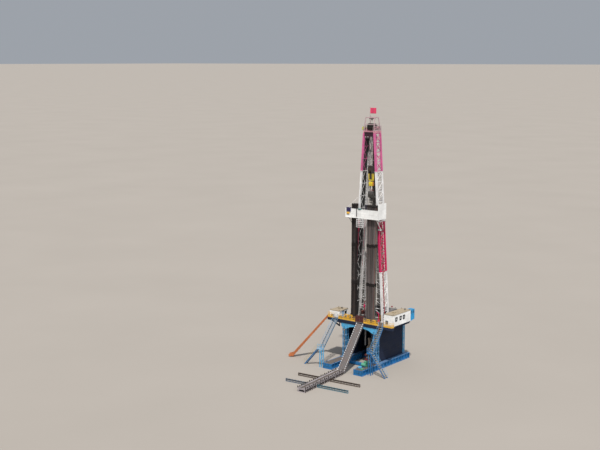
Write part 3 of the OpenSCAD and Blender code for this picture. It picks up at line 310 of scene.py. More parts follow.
def material(slot):
    if slot in MAT:
        return MAT[slot]
    P = {
        "structure_blue": lambda n: painted(n, (0.016, 0.17, 0.42), 0.4, 0.6, 0.45, 0.7, 0.20),
        # near-black navy for the cladding under the floor, darkened as painted shade of the floor's shadow
        "structure_navy": lambda n: painted(n, (0.0035, 0.012, 0.040), 0.3, 0.4, 0.72, 0.5, 0.05),
        "structure_cyan": lambda n: painted(n, (0.096, 0.437, 0.735), 0.35, 0.5, 0.45, 0.6, 0.25),
        "rail_yellow": lambda n: painted(n, (0.86, 0.48, 0.045), 0.4, 0.5, 0.42, 0.8, 0.12),
        "deck_steel": lambda n: bare_steel(n, (0.17, 0.15, 0.13), 0.6, 0.6, 0.25),
        "machine_grey": lambda n: painted(n, (0.14, 0.14, 0.15), 0.5, 0.6, 0.45, 0.7, 0.25),
        "machine_blue": lambda n: painted(n, (0.04, 0.22, 0.50), 0.4, 0.6, 0.4, 0.7, 0.25),
        "timber": lambda n: timber(n, (0.16, 0.10, 0.06)),
        "tube_grey": lambda n: bare_steel(n, (0.36, 0.35, 0.34), 0.3, 0.5, 0.4),
        "gate_maroon": lambda n: painted(n, (0.12, 0.022, 0.022), 0.5, 0.6, 0.5, 0.6, 0.15),
        "ramp_grey": lambda n: bare_steel(n, (0.20, 0.185, 0.19), 0.35, 0.55, 0.35),
        "slide_orange": lambda n: painted(n, (0.47, 0.145, 0.05), 0.5, 0.6, 0.5, 0.6, 0.25),
        "cabin_white": lambda n: painted(n, (0.90, 0.90, 0.89), 0.22, 0.3, 0.4, 0.5, 0.12, (0.36, 0.30, 0.24)),
        "cabin_roof": lambda n: painted(n, (0.40, 0.33, 0.22), 0.5, 0.9, 0.6, 0.9, 0.75, (0.16, 0.11, 0.07)),
        "cabin_door": lambda n: painted(n, (0.33, 0.48, 0.66), 0.3, 0.5, 0.4, 0.6, 0.1),
        "cabinet_blue": lambda n: painted(n, (0.012, 0.32, 0.66), 0.3, 0.5, 0.4, 0.6, 0.1),
        "crown_dark": lambda n: painted(n, (0.035, 0.008, 0.020), 0.4, 0.6, 0.5, 0.6, 0.1),
        "base_blue": lambda n: painted(n, (0.016, 0.13, 0.26), 0.45, 0.7, 0.5, 0.8, 0.35),
        "column_light": lambda n: painted(n, (0.22, 0.42, 0.66), 0.4, 0.6, 0.5, 0.7, 0.2),
        "bolt_steel": lambda n: bare_steel(n, (0.22, 0.21, 0.20), 0.35, 0.45, 0.6),
        "grate_steel": lambda n: bare_steel(n, (0.26, 0.25, 0.24), 0.45, 0.55, 0.45),
        "hose_black": lambda n: painted(n, (0.018, 0.018, 0.019), 0.05, 0.5, 0.55, 0.5, 0.15, (0.06, 0.05, 0.04)),
        "sheave_steel": lambda n: bare_steel(n, (0.13, 0.11, 0.09), 0.5, 0.42, 0.6, 0.6),
        "lamp_yellow": lambda n: painted(n, (0.60, 0.62, 0.06), 0.3, 0.5, 0.4, 0.6, 0.1),
        "cover_blue": lambda n: painted(n, (0.022, 0.017, 0.085), 0.2, 0.5, 0.6, 0.6, 0.1),
        "structure_teal": lambda n: painted(n, (0.03, 0.36, 0.36), 0.3, 0.5, 0.45, 0.6, 0.1),
        "box_green": lambda n: painted(n, (0.09, 0.36, 0.23), 0.3, 0.6, 0.45, 0.6, 0.2),
        # near-black pipe steel of the left bundle: painted shade
        "stand_shade_black": lambda n: bare_steel(n, (0.014, 0.013, 0.014), 0.10, 0.6, 0.25, 0.6),
        "stand_green": lambda n: bare_steel(n, (0.17, 0.19, 0.145), 0.15, 0.55, 0.3, 0.5),
        "stand_rust": lambda n: bare_steel(n, (0.21, 0.075, 0.075), 0.35, 0.6, 0.3, 0.5),
        "tool_joint": lambda n: bare_steel(n, (0.014, 0.012, 0.012), 0.15, 0.5, 0.4, 0.5),
        "stair_pale": lambda n: painted(n, (0.46, 0.60, 0.76), 0.35, 0.6, 0.45, 0.7, 0.2, (0.12, 0.13, 0.16)),
        "tread_pale": lambda n: bare_steel(n, (0.42, 0.44, 0.46), 0.3, 0.6, 0.3),
        "tread_tan": lambda n: painted(n, (0.46, 0.36, 0.20), 0.5, 0.6, 0.55, 0.7, 0.3, (0.12, 0.08, 0.05)),
        "rail_tan": lambda n: painted(n, (0.52, 0.42, 0.20), 0.4, 0.6, 0.5, 0.7, 0.2),
        "ramp_pale": lambda n: painted(n, (0.72, 0.73, 0.75), 0.4, 0.7, 0.5, 0.8, 0.25, (0.12, 0.10, 0.09)),
        "rack_brown": lambda n: painted(n, (0.070, 0.042, 0.030), 0.6, 0.6, 0.55, 0.6, 0.25),
        "rack_grey": lambda n: painted(n, (0.12, 0.17, 0.24), 0.5, 0.6, 0.5, 0.6, 0.25),
        "rack_teal": lambda n: painted(n, (0.04, 0.17, 0.24), 0.5, 0.6, 0.5, 0.6, 0.25),
        "timber_grey": lambda n: timber(n, (0.34, 0.305, 0.315)),
        "crown_pale": lambda n: painted(n, (0.50, 0.36, 0.38), 0.5, 0.75, 0.45, 0.8, 0.2, (0.16, 0.10, 0.10)),
        "mast_magenta": lambda n: painted(n, (0.64, 0.13, 0.31), 0.4, 0.5, 0.42, 0.6, 0.15),
        # near-black sheet colour: painted shade
        "screen_dark": lambda n: painted(n, (0.030, 0.024, 0.042), 0.1, 0.5, 0.6, 0.6, 0.1),
        "unit_blue": lambda n: painted(n, (0.12, 0.16, 0.24), 0.4, 0.6, 0.45, 0.7, 0.25),
        "stair_blue": lambda n: painted(n, (0.04, 0.17, 0.40), 0.45, 0.6, 0.5, 0.7, 0.25),
        "stair_mid": lambda n: painted(n, (0.16, 0.36, 0.58), 0.4, 0.6, 0.5, 0.7, 0.25),
        # lighter copy of stand_brown for the right bundle: painted light
        "stand_grey": lambda n: bare_steel(n, (0.165, 0.140, 0.138), 0.20, 0.55, 0.3, 0.6),
        "stand_dark": lambda n: bare_steel(n, (0.075, 0.064, 0.064), 0.20, 0.55, 0.3, 0.6),
        "stack_beige": lambda n: painted(n, (0.46, 0.36, 0.27), 0.4, 0.6, 0.55, 0.6, 0.2),
        "stair_slate": lambda n: painted(n, (0.09, 0.19, 0.30), 0.45, 0.6, 0.5, 0.7, 0.25),
        "timber_mauve": lambda n: timber(n, (0.41, 0.365, 0.38)),
        "rack_dark": lambda n: painted(n, (0.030, 0.021, 0.018), 0.4, 0.6, 0.55, 0.6, 0.2),
        "catwalk_pale": lambda n: painted(n, (0.42, 0.38, 0.40), 0.5, 0.8, 0.55, 0.8, 0.3, (0.08, 0.06, 0.05)),
        "column_blue": lambda n: painted(n, (0.055, 0.255, 0.50), 0.4, 0.6, 0.45, 0.7, 0.20),
        "base_mid": lambda n: painted(n, (0.012, 0.165, 0.42), 0.45, 0.7, 0.5, 0.8, 0.30),
        "slide_rim": lambda n: painted(n, (0.52, 0.19, 0.08), 0.4, 0.5, 0.45, 0.6, 0.2),
        "slide_worn": lambda n: bare_steel(n, (0.30, 0.20, 0.15), 0.5, 0.45, 0.4),
        "window_glass": lambda n: pane(n, (0.03, 0.045, 0.055)),
        "mast_white": lambda n: painted(n, (0.86, 0.85, 0.85), 0.4, 0.6, 0.42, 0.7, 0.15, (0.20, 0.13, 0.10)),
        "mast_red": lambda n: painted(n, (0.60, 0.020, 0.11), 0.4, 0.5, 0.42, 0.6, 0.12),
        "mast_pink": lambda n: painted(n, (0.66, 0.30, 0.37), 0.5, 0.7, 0.45, 0.8, 0.2, (0.28, 0.06, 0.08)),
        "flag_red": lambda n: cloth(n, (0.66, 0.035, 0.115)),
        "block_yellow": lambda n: painted(n, (0.86, 0.66, 0.035), 0.5, 0.75, 0.35, 0.8, 0.1, (0.09, 0.06, 0.02)),
        "drive_dark": lambda n: painted(n, (0.05, 0.046, 0.042), 0.5, 0.6, 0.4, 0.6, 0.1),
        "wire": lambda n: rope_steel(n, (0.07, 0.062, 0.055)),
        "rail_steel": lambda n: bare_steel(n, (0.15, 0.14, 0.13), 0.4, 0.45, 0.6),
        "pipe_red": lambda n: painted(n, (0.33, 0.03, 0.045), 0.4, 0.5, 0.4, 0.6, 0.1),
        "stand_black": lambda n: bare_steel(n, (0.022, 0.019, 0.019), 0.15, 0.6, 0.25, 0.6),
        "stand_brown": lambda n: bare_steel(n, (0.085, 0.070, 0.070), 0.20, 0.55, 0.3, 0.6),
        "galvanised": lambda n: bare_steel(n, (0.46, 0.46, 0.45), 0.15, 0.45, 0.6),
        # near-black: painted shade for louvre slots and vent openings, and plain dark paint on small parts elsewhere
        "dark_gap": lambda n: painted(n, (0.02, 0.02, 0.022), 0.3, 0.3, 0.6, 0.3, 0.1),
        "lamp_glass": lambda n: pane(n, (0.75, 0.74, 0.68)),
        "hook_orange": lambda n: painted(n, (0.55, 0.20, 0.03), 0.5, 0.7, 0.4, 0.7, 0.1),
    }
    MAT[slot] = P[slot](slot)
    return MAT[slot]


PAINT = {"mast_section_4": "mast_magenta", "base_boxes": "base_mid", "front_columns": "column_blue", "crown_top_frame": "crown_pale", "catwalk": "catwalk_pale", "mast_ladder": "mast_white"}
for sp in frame["record"]["subparts"]:
    o = NODES[sp["node"]]
    o.data.materials.clear()
    o.data.materials.append(material(PAINT.get(sp["node"], sp["material_slot"])))


# ------------------------------------------------------------ mesh builder
def V(x, y, z):
    return Vector((x, y, z))


class Mesh:
    """Collects closed shells in layout metres; one object with one or more materials."""

    def __init__(self):
        self.v, self.f, self.k = [], [], []

    def raw(self, vs, fs, k=0):
        n = len(self.v)
        self.v += [Vector(p) for p in vs]
        self.f += [tuple(n + i for i in q) for q in fs]
        self.k += [k] * len(fs)

    def convex(self, vs, fs, k=0):
        vs = [Vector(p) for p in vs]
        c = sum(vs, Vector()) / len(vs)
        out = []
        for q in fs:
            a, b, d = vs[q[0]], vs[q[1]], vs[q[2]]
            m = sum((vs[i] for i in q), Vector()) / len(q)
            out.append(tuple(reversed(q)) if (b - a).cross(d - a).dot(m - c) < 0 else tuple(q))
        self.raw(vs, out, k)

    def box(self, a, b, k=0, c=0.0):
        lo = [min(a[i], b[i]) for i in range(3)]
        hi = [max(a[i], b[i]) for i in range(3)]
        c = min(c, 0.45 * min(hi[i] - lo[i] for i in range(3)))
        if c <= 0:
            vs = [(x, y, z) for z in (lo[2], hi[2]) for y in (lo[1], hi[1]) for x in (lo[0], hi[0])]
            self.convex(vs, [(0, 1, 3, 2), (4, 5, 7, 6), (0, 1, 5, 4), (2, 3, 7, 6), (0, 2, 6, 4), (1, 3, 7, 5)], k)
            return
        vs, ix = [], {}
        for s in ((i, j, l) for i in (0, 1) for j in (0, 1) for l in (0, 1)):
            for ax in range(3):
                p = []
                for d in range(3):
                    e = hi[d] if s[d] else lo[d]
                    p.append(e if d == ax else e + (-c if s[d] else c))
                ix[(s, ax)] = len(vs)
                vs.append(p)
        fs = []
        for ax in range(3):
            o = [d for d in range(3) if d != ax]
            for e in (0, 1):
                q = []
                for u, w in ((0, 0), (1, 0), (1, 1), (0, 1)):
                    s = [0, 0, 0]
                    s[ax], s[o[0]], s[o[1]] = e, u, w
                    q.append(ix[(tuple(s), ax)])
                fs.append(q)
        for a1 in range(3):
            for a2 in range(a1 + 1, 3):
                a3 = 3 - a1 - a2
                for e1 in (0, 1):
                    for e2 in (0, 1):
                        s0, s1 = [0, 0, 0], [0, 0, 0]
                        s0[a1] = s1[a1] = e1
                        s0[a2] = s1[a2] = e2
                        s1[a3] = 1
                        s0, s1 = tuple(s0), tuple(s1)
                        fs.append((ix[(s0, a1)], ix[(s1, a1)], ix[(s1, a2)], ix[(s0, a2)]))
        for s in ((i, j, l) for i in (0, 1) for j in (0, 1) for l in (0, 1)):
            fs.append((ix[(s, 0)], ix[(s, 1)], ix[(s, 2)]))
        self.convex(vs, fs, k)

    @staticmethod
    def basis(d, up=None):
        d = d.normalized()
        up = Vector(up) if up is not None else (Vector((0, 0, 1)) if abs(d.z) < 0.9 else Vector((0, 1, 0)))
        u = up.cross(d)
        if u.length < 1e-6:
            u = Vector((1, 0, 0)).cross(d)
        u.normalize()
        return u, d.cross(u), d

    def bar(self, p, q, w, h, k=0, up=None, off=(0, 0)):
        """A square bar from p to q; w across, h along up."""
        p, q = Vector(p), Vector(q)
        u, v, d = self.basis(q - p, up)
        o = u * off[0] + v * off[1]
        vs = [c + o + u * (w / 2 * i) + v * (h / 2 * j) for c in (p, q) for i, j in ((-1, -1), (1, -1), (1, 1), (-1, 1))]
        self.convex(vs, [(0, 1, 2, 3), (4, 5, 6, 7), (0, 1, 5, 4), (1, 2, 6, 5), (2, 3, 7, 6), (3, 0, 4, 7)], k)

    def angle(self, p, q, s, t, k=0, up=None):
        self.bar(p, q, s, t, k, up, (0, -s / 2 + t / 2))
        self.bar(p, q, t, s - t, k, up, (-s / 2 + t / 2, t / 2))

    def ibeam(self, p, q, h, w, t, k=0, up=(0, 0, 1)):
        self.bar(p, q, w, t, k, up, (0, h / 2 - t / 2))
        self.bar(p, q, w, t, k, up, (0, -h / 2 + t / 2))
        self.bar(p, q, t, h - 2 * t, k, up)

    def channel(self, p, q, h, w, t, k=0, up=(0, 0, 1), side=1):
        self.bar(p, q, w, t, k, up, (side * w / 2, h / 2 - t / 2))
        self.bar(p, q, w, t, k, up, (side * w / 2, -h / 2 + t / 2))
        self.bar(p, q, t, h, k, up, (side * t / 2, 0))

    def tube(self, p, q, r, n=10, k=0, r2=None):
        p, q = Vector(p), Vector(q)
        r2 = r if r2 is None else r2
        u, v, d = self.basis(q - p)
        vs = []
        for c, rr in ((p, r), (q, r2)):
            vs += [c + u * (rr * math.cos(2 * math.pi * i / n)) + v * (rr * math.sin(2 * math.pi * i / n)) for i in range(n)]
        fs = [(i, (i + 1) % n, n + (i + 1) % n, n + i) for i in range(n)]
        fs += [tuple(range(n)), tuple(range(n, 2 * n))]
        self.convex(vs, fs, k)

    def pipe(self, pts, r, n=10, k=0, rs=None, caps=True):
        """A round pipe along the points; rs gives a radius for each point."""
        pts = [Vector(p) for p in pts]
        m = len(pts)
        rs = rs or [r] * m
        u = None
        vs = []
        for i, p in enumerate(pts):
            d = (pts[min(i + 1, m - 1)] - pts[max(i - 1, 0)]).normalized()
            if u is None:
                u = self.basis(d)[0]
            u = (u - d * u.dot(d)).normalized()
            v = d.cross(u)
            vs += [p + u * (rs[i] * math.cos(2 * math.pi * j / n)) + v * (rs[i] * math.sin(2 * math.pi * j / n)) for j in range(n)]
        fs = []
        for i in range(m - 1):
            for j in range(n):
                a, b = i * n + j, i * n + (j + 1) % n
                fs.append((a, b, b + n, a + n))
        if caps:
            fs.append(tuple(reversed(range(n))))
            fs.append(tuple(range((m - 1) * n, m * n)))
        self.raw(vs, fs, k)

    def lathe(self, c, axis, prof, n=24, k=0):
        """prof is (radius, height) pairs, closed by caps at both ends."""
        c = Vector(c)
        u, v, d = self.basis(Vector(axis))
        vs = []
        for r, h in prof:
            vs += [c + d * h + u * (r * math.cos(2 * math.pi * j / n)) + v * (r * math.sin(2 * math.pi * j / n)) for j in range(n)]
        fs = []
        for i in range(len(prof) - 1):
            for j in range(n):
                a, b = i * n + j, i * n + (j + 1) % n
                fs.append((a, b, b + n, a + n))
        fs.append(tuple(reversed(range(n))))
        fs.append(tuple(range((len(prof) - 1) * n, len(prof) * n)))
        self.raw(vs, fs, k)

    def plate(self, poly, normal, t, k=0):
        """A flat plate: the points of a convex outline, thickened along normal."""
        nrm = Vector(normal).normalized()
        a = [Vector(p) - nrm * t / 2 for p in poly]
        b = [Vector(p) + nrm * t / 2 for p in poly]
        n = len(poly)
        fs = [tuple(range(n)), tuple(range(n, 2 * n))] + [(i, (i + 1) % n, n + (i + 1) % n, n + i) for i in range(n)]
        self.convex(a + b, fs, k)

    def bolt(self, p, d, r=0.012, h=0.012, k=0):
        p = Vector(p)
        self.tube(p, p + Vector(d).normalized() * h, r, 6, k)

    def grating(self, x0, x1, y0, y1, z, pitch=0.07, t=0.008, h=0.03, k=0, along="y"):
        if along == "y":
            n = max(2, int(round((x1 - x0) / pitch)))
            for i in range(n + 1):
                x = x0 + (x1 - x0) * i / n
                self.box((x - t / 2, y0, z - h), (x + t / 2, y1, z), k)
            m = max(2, int(round((y1 - y0) / 0.3)))
            for i in range(m + 1):
                y = y0 + (y1 - y0) * i / m
                self.box((x0, y - t / 2, z - h * 0.7), (x1, y + t / 2, z - 0.002), k)
        else:
            n = max(2, int(round((y1 - y0) / pitch)))
            for i in range(n + 1):
                y = y0 + (y1 - y0) * i / n
                self.box((x0, y - t / 2, z - h), (x1, y + t / 2, z), k)
            m = max(2, int(round((x1 - x0) / 0.3)))
            for i in range(m + 1):
                x = x0 + (x1 - x0) * i / m
                self.box((x - t / 2, y0, z - h * 0.7), (x + t / 2, y1, z - 0.002), k)

    def make(self, name, body, slots, replaces=(), slot=None, extra=()):
        me = bpy.data.meshes.new(name)
        me.from_pydata([(p.x + SX, p.y + SY, p.z) for p in self.v], [], self.f)
        for s in slots:
            me.materials.append(material(s))
        for i, k in enumerate(self.k):
            me.polygons[i].material_index = k
            me.polygons[i].use_smooth = True
        me.set_sharp_from_angle(angle=math.radians(32))
        me.update()
        ob = bpy.data.objects.new(name, me)
        bpy.context.scene.collection.objects.link(ob)
        if body:
            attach(ob, body)
        s = slot or slots[0]
        if replaces:
            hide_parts(*replaces)
        return ob


def lerp(a, b, t):
    return a + (b - a) * t


# levels and widths of the mast, as in the construction
Z0, ZC = 5.31, 27.25
LEVELS = [Z0, Z0 + (ZC - Z0) * 0.267, Z0 + (ZC - Z0) * 0.533, Z0 + (ZC - Z0) * 0.8, ZC]
BAND = ["mast_white", "mast_red", "mast_white", "mast_magenta"]
FLOOR = 5.25
DEPTH = 1.2


def half_at(z):
    return 2.15 + (0.72 - 2.15) * (z - Z0) / (ZC - Z0)


def rail_run(m, pts, h=0.56, gap=0.62, k=0, kt=None, r=0.017, toe=True):
    """Tube handrail over the points: posts, three rails and a toe board."""
    pts = [Vector(p) for p in pts]
    for a, b in zip(pts, pts[1:]):
        l = (b - a).length
        n = max(1, round(l / gap))
        for i in range(n + 1):
            c = a.lerp(b, i / n)
            m.tube(c, c + V(0, 0, h), r, 8, k)
            m.box(c - V(0.03, 0.03, 0), c + V(0.03, 0.03, 0.012), k)
        for z, rr in ((h, r * 1.15), (h * 0.66, r * 0.75), (h * 0.36, r * 0.75)):
            m.tube(a + V(0, 0, z), b + V(0, 0, z), rr, 8, k)
        if toe:
            m.bar(a + V(0, 0, 0.05), b + V(0, 0, 0.05), 0.01, 0.10, k if kt is None else kt, (0, 0, 1))


# ------------------------------------------------------------- drill pipe
def racked_pipe(name, node, x0, x1, lean, cols, slots, weights, seed):
    """Stands of drill pipe on end, each of three joints with upset tool joints."""
    rnd = random.Random(seed)
    m = Mesh()
    z0 = FLOOR + 0.054
    for row in range(5):
        y = -0.915 + 0.12 * row
        for c in range(cols):
            t = (c + 0.5) / cols
            xa = lerp(x0 + 0.03, x1 - 0.03, t) + rnd.uniform(-0.004, 0.004)
            top = 19.05 + rnd.uniform(-0.10, 0.05)
            xb = xa + lean * t + rnd.uniform(-0.008, 0.008)
            bow = rnd.uniform(-0.006, 0.006)
            k = rnd.choices(range(len(slots)), weights)[0]
            marks = [(0.0, 0.030), (0.03, 0.042), (0.16, 0.042), (0.20, 0.032)]
            for j in (4.22 + rnd.uniform(-0.07, 0.07), 8.80 + rnd.uniform(-0.08, 0.08)):
                marks += [(j - 0.02, 0.032), (j, 0.0425), (j + 0.19, 0.0425), (j + 0.195, 0.040),
                          (j + 0.20, 0.0425), (j + 0.40, 0.0425), (j + 0.43, 0.032)]
            h = top - z0
            marks += [(h - 0.26, 0.032), (h - 0.22, 0.0425), (h - 0.004, 0.0425), (h, 0.040), (h, 0.028), (h - 0.08, 0.024)]
            pts, rs = [], []
            for zz, r in marks:
                s = zz / h
                pts.append((lerp(xa, xb, s) + bow * math.sin(math.pi * s), y + bow * 0.6 * math.sin(math.pi * s), z0 + zz))
                rs.append(r)
            n, vs = 10, []
            for p, r in zip(pts, rs):
                vs += [(p[0] + r * math.cos(2 * math.pi * j / n), p[1] + r * math.sin(2 * math.pi * j / n), p[2]) for j in range(n)]
            fs = [(i * n + j, i * n + (j + 1) % n, (i + 1) * n + (j + 1) % n, (i + 1) * n + j) for i in range(len(pts) - 1) for j in range(n)]
            fs.append(tuple(reversed(range(n))))
            fs.append(tuple(range((len(pts) - 1) * n, len(pts) * n)))
            m.raw(vs, fs, k)
            # tool joints carry their own darker steel
            b = len(m.f) - len(fs)
            for i in range(len(pts) - 1):
                if rs[i] > 0.035 and rs[i + 1] > 0.035:
                    for j in range(n):
                        m.k[b + i * n + j] = len(slots)
    return m.make(name, "rig", list(slots) + ["tool_joint"], [node])


# the left bundle is near-black pipe, darkened further as painted shade of its shaded side; the right bundle's grey is
# a lighter copy of the same brown pipe as painted light
racked_pipe("drill_pipe_left", "pipe_stands_left", -1.77, -1.15, 0.06, 7,
            ["stand_black", "stand_shade_black", "stand_brown"], [6, 4, 1], 5)
racked_pipe("drill_pipe_right", "pipe_stands_right", 0.35, 1.45, 0.29, 12,
            ["stand_grey", "stand_dark", "stand_green", "stand_rust"], [6, 2, 2, 2], 9)


# -------------------------------------------------------------- mast steel
def mast_fittings():
    for sct in range(4):
        m = Mesh()
        z0, z1 = LEVELS[sct], LEVELS[sct + 1]
        nb = 5 if z1 - z0 > 5 else 4
        h = (z1 - z0) / nb
        for s in (-1, 1):
            # leg flanges with bolts where two sections meet
            for z in ([z1] if sct < 3 else []):
                for y, w in ((0.0, 0.15), (DEPTH, 0.125)):
                    x = s * half_at(z)
                    m.box((x - w, y - w, z - 0.045), (x + w, y + w, z - 0.004), 0, 0.006)
                    for i, j in ((-1, -1), (1, -1), (1, 1), (-1, 1)):
                        m.bolt((x + i * (w - 0.018), y + j * (w - 0.018), z - 0.075), (0, 0, 1), 0.014, 0.105, 1)
            for i in range(nb + 1):
                z = min(max(z0 + i * h, z0 + 0.06), z1 - 0.07)
                x = s * half_at(z)
                for y, q in ((0.0, 1), (DEPTH, -1)):
                    w = 0.105 if y == 0 else 0.085
                    # gussets in the plane of the side panel
                    m.plate([(x, y + q * w, z - 0.16), (x, y + q * (w + 0.17), z - 0.04), (x, y + q * (w + 0.17), z + 0.04), (x, y + q * w, z + 0.16)], (1, 0, 0), 0.016, 0)
                    for dz in (-0.08, 0.0, 0.08):
                        m.bolt((x + s * 0.008, y + q * (w + 0.05), z + dz), (s, 0, 0), 0.010, 0.012, 1)
            for i in range(nb):
                a, b = z0 + i * h + 0.08, z0 + (i + 1) * h - 0.08
                f = i % 2 == 0
                # light counter diagonal and a sub-post of each bay
                pa = V(s * half_at(a), DEPTH - 0.10 if f else 0.12, a)
                pb = V(s * half_at(b), 0.12 if f else DEPTH - 0.10, b)
                m.angle(pa + V(s * 0.045, 0, 0), pb + V(s * 0.045, 0, 0), 0.045, 0.008, 0, (s, 0, 0))
                zc = (a + b) / 2
                m.angle(V(s * half_at(zc), 0.11, zc), V(s * half_at(zc), DEPTH - 0.09, zc), 0.045, 0.008, 0, (0, 0, 1))
                # corner plates of the back panel
                for zz in (a - 0.02, b + 0.02):
                    x = s * (half_at(zz) - 0.099)
                    m.plate([(x, DEPTH, zz - 0.12), (x - s * 0.20, DEPTH, zz - 0.03), (x - s * 0.20, DEPTH, zz + 0.03), (x, DEPTH, zz + 0.12)], (0, 1, 0), 0.014, 2)
            # leg lugs, a rib every half bay
            for i in range(2 * nb):
                z = z0 + (i + 0.5) * h / 2
                x = s * half_at(z)
                m.box((x - 0.112, -0.112, z - 0.012), (x + 0.112, 0.112, z + 0.012), 0)
                m.box((x - 0.090, DEPTH - 0.090, z - 0.010), (x + 0.090, DEPTH + 0.090, z + 0.010), 0)
        # secondary braces of the back panel
        for i in range(nb):
            a, b = z0 + i * h + 0.06, z0 + (i + 1) * h - 0.06
            zc = (a + b) / 2
            xm = (half_at(zc) - 0.1) / 2
            for s in (-1, 1):
                m.angle((s * xm, DEPTH + 0.02, zc), (s * (half_at(b) - 0.12), DEPTH + 0.02, b), 0.04, 0.007, 2, (0, 1, 0))
                m.angle((s * xm, DEPTH + 0.02, zc), (s * (half_at(a) - 0.12) * 0.55, DEPTH + 0.02, a), 0.04, 0.007, 2, (0, 1, 0))
            m.plate([(-0.13, DEPTH + 0.03, b - 0.08), (0.13, DEPTH + 0.03, b - 0.08), (0.09, DEPTH + 0.03, b + 0.04), (-0.09, DEPTH + 0.03, b + 0.04)], (0, 1, 0), 0.012, 2)
        m.make("mast_fittings_%d" % (sct + 1), "rig", [BAND[sct], "bolt_steel", "mast_white"])
    # foot pins and shoes
    m = Mesh()
    for s in (-1, 1):
        for y in (0.0, DEPTH):
            x = s * 2.15
            m.tube((x - 0.19, y, 5.33), (x + 0.19, y, 5.33), 0.045, 16, 1)
            for dx in (-0.13, 0.13):
                m.plate([(x + dx, y - 0.13, 5.252), (x + dx, y + 0.13, 5.252), (x + dx, y + 0.07, 5.47), (x + dx, y - 0.07, 5.47)], (1, 0, 0), 0.03, 0)
    m.make("mast_foot_pins", "rig", ["mast_white", "bolt_steel"])


mast_fittings()


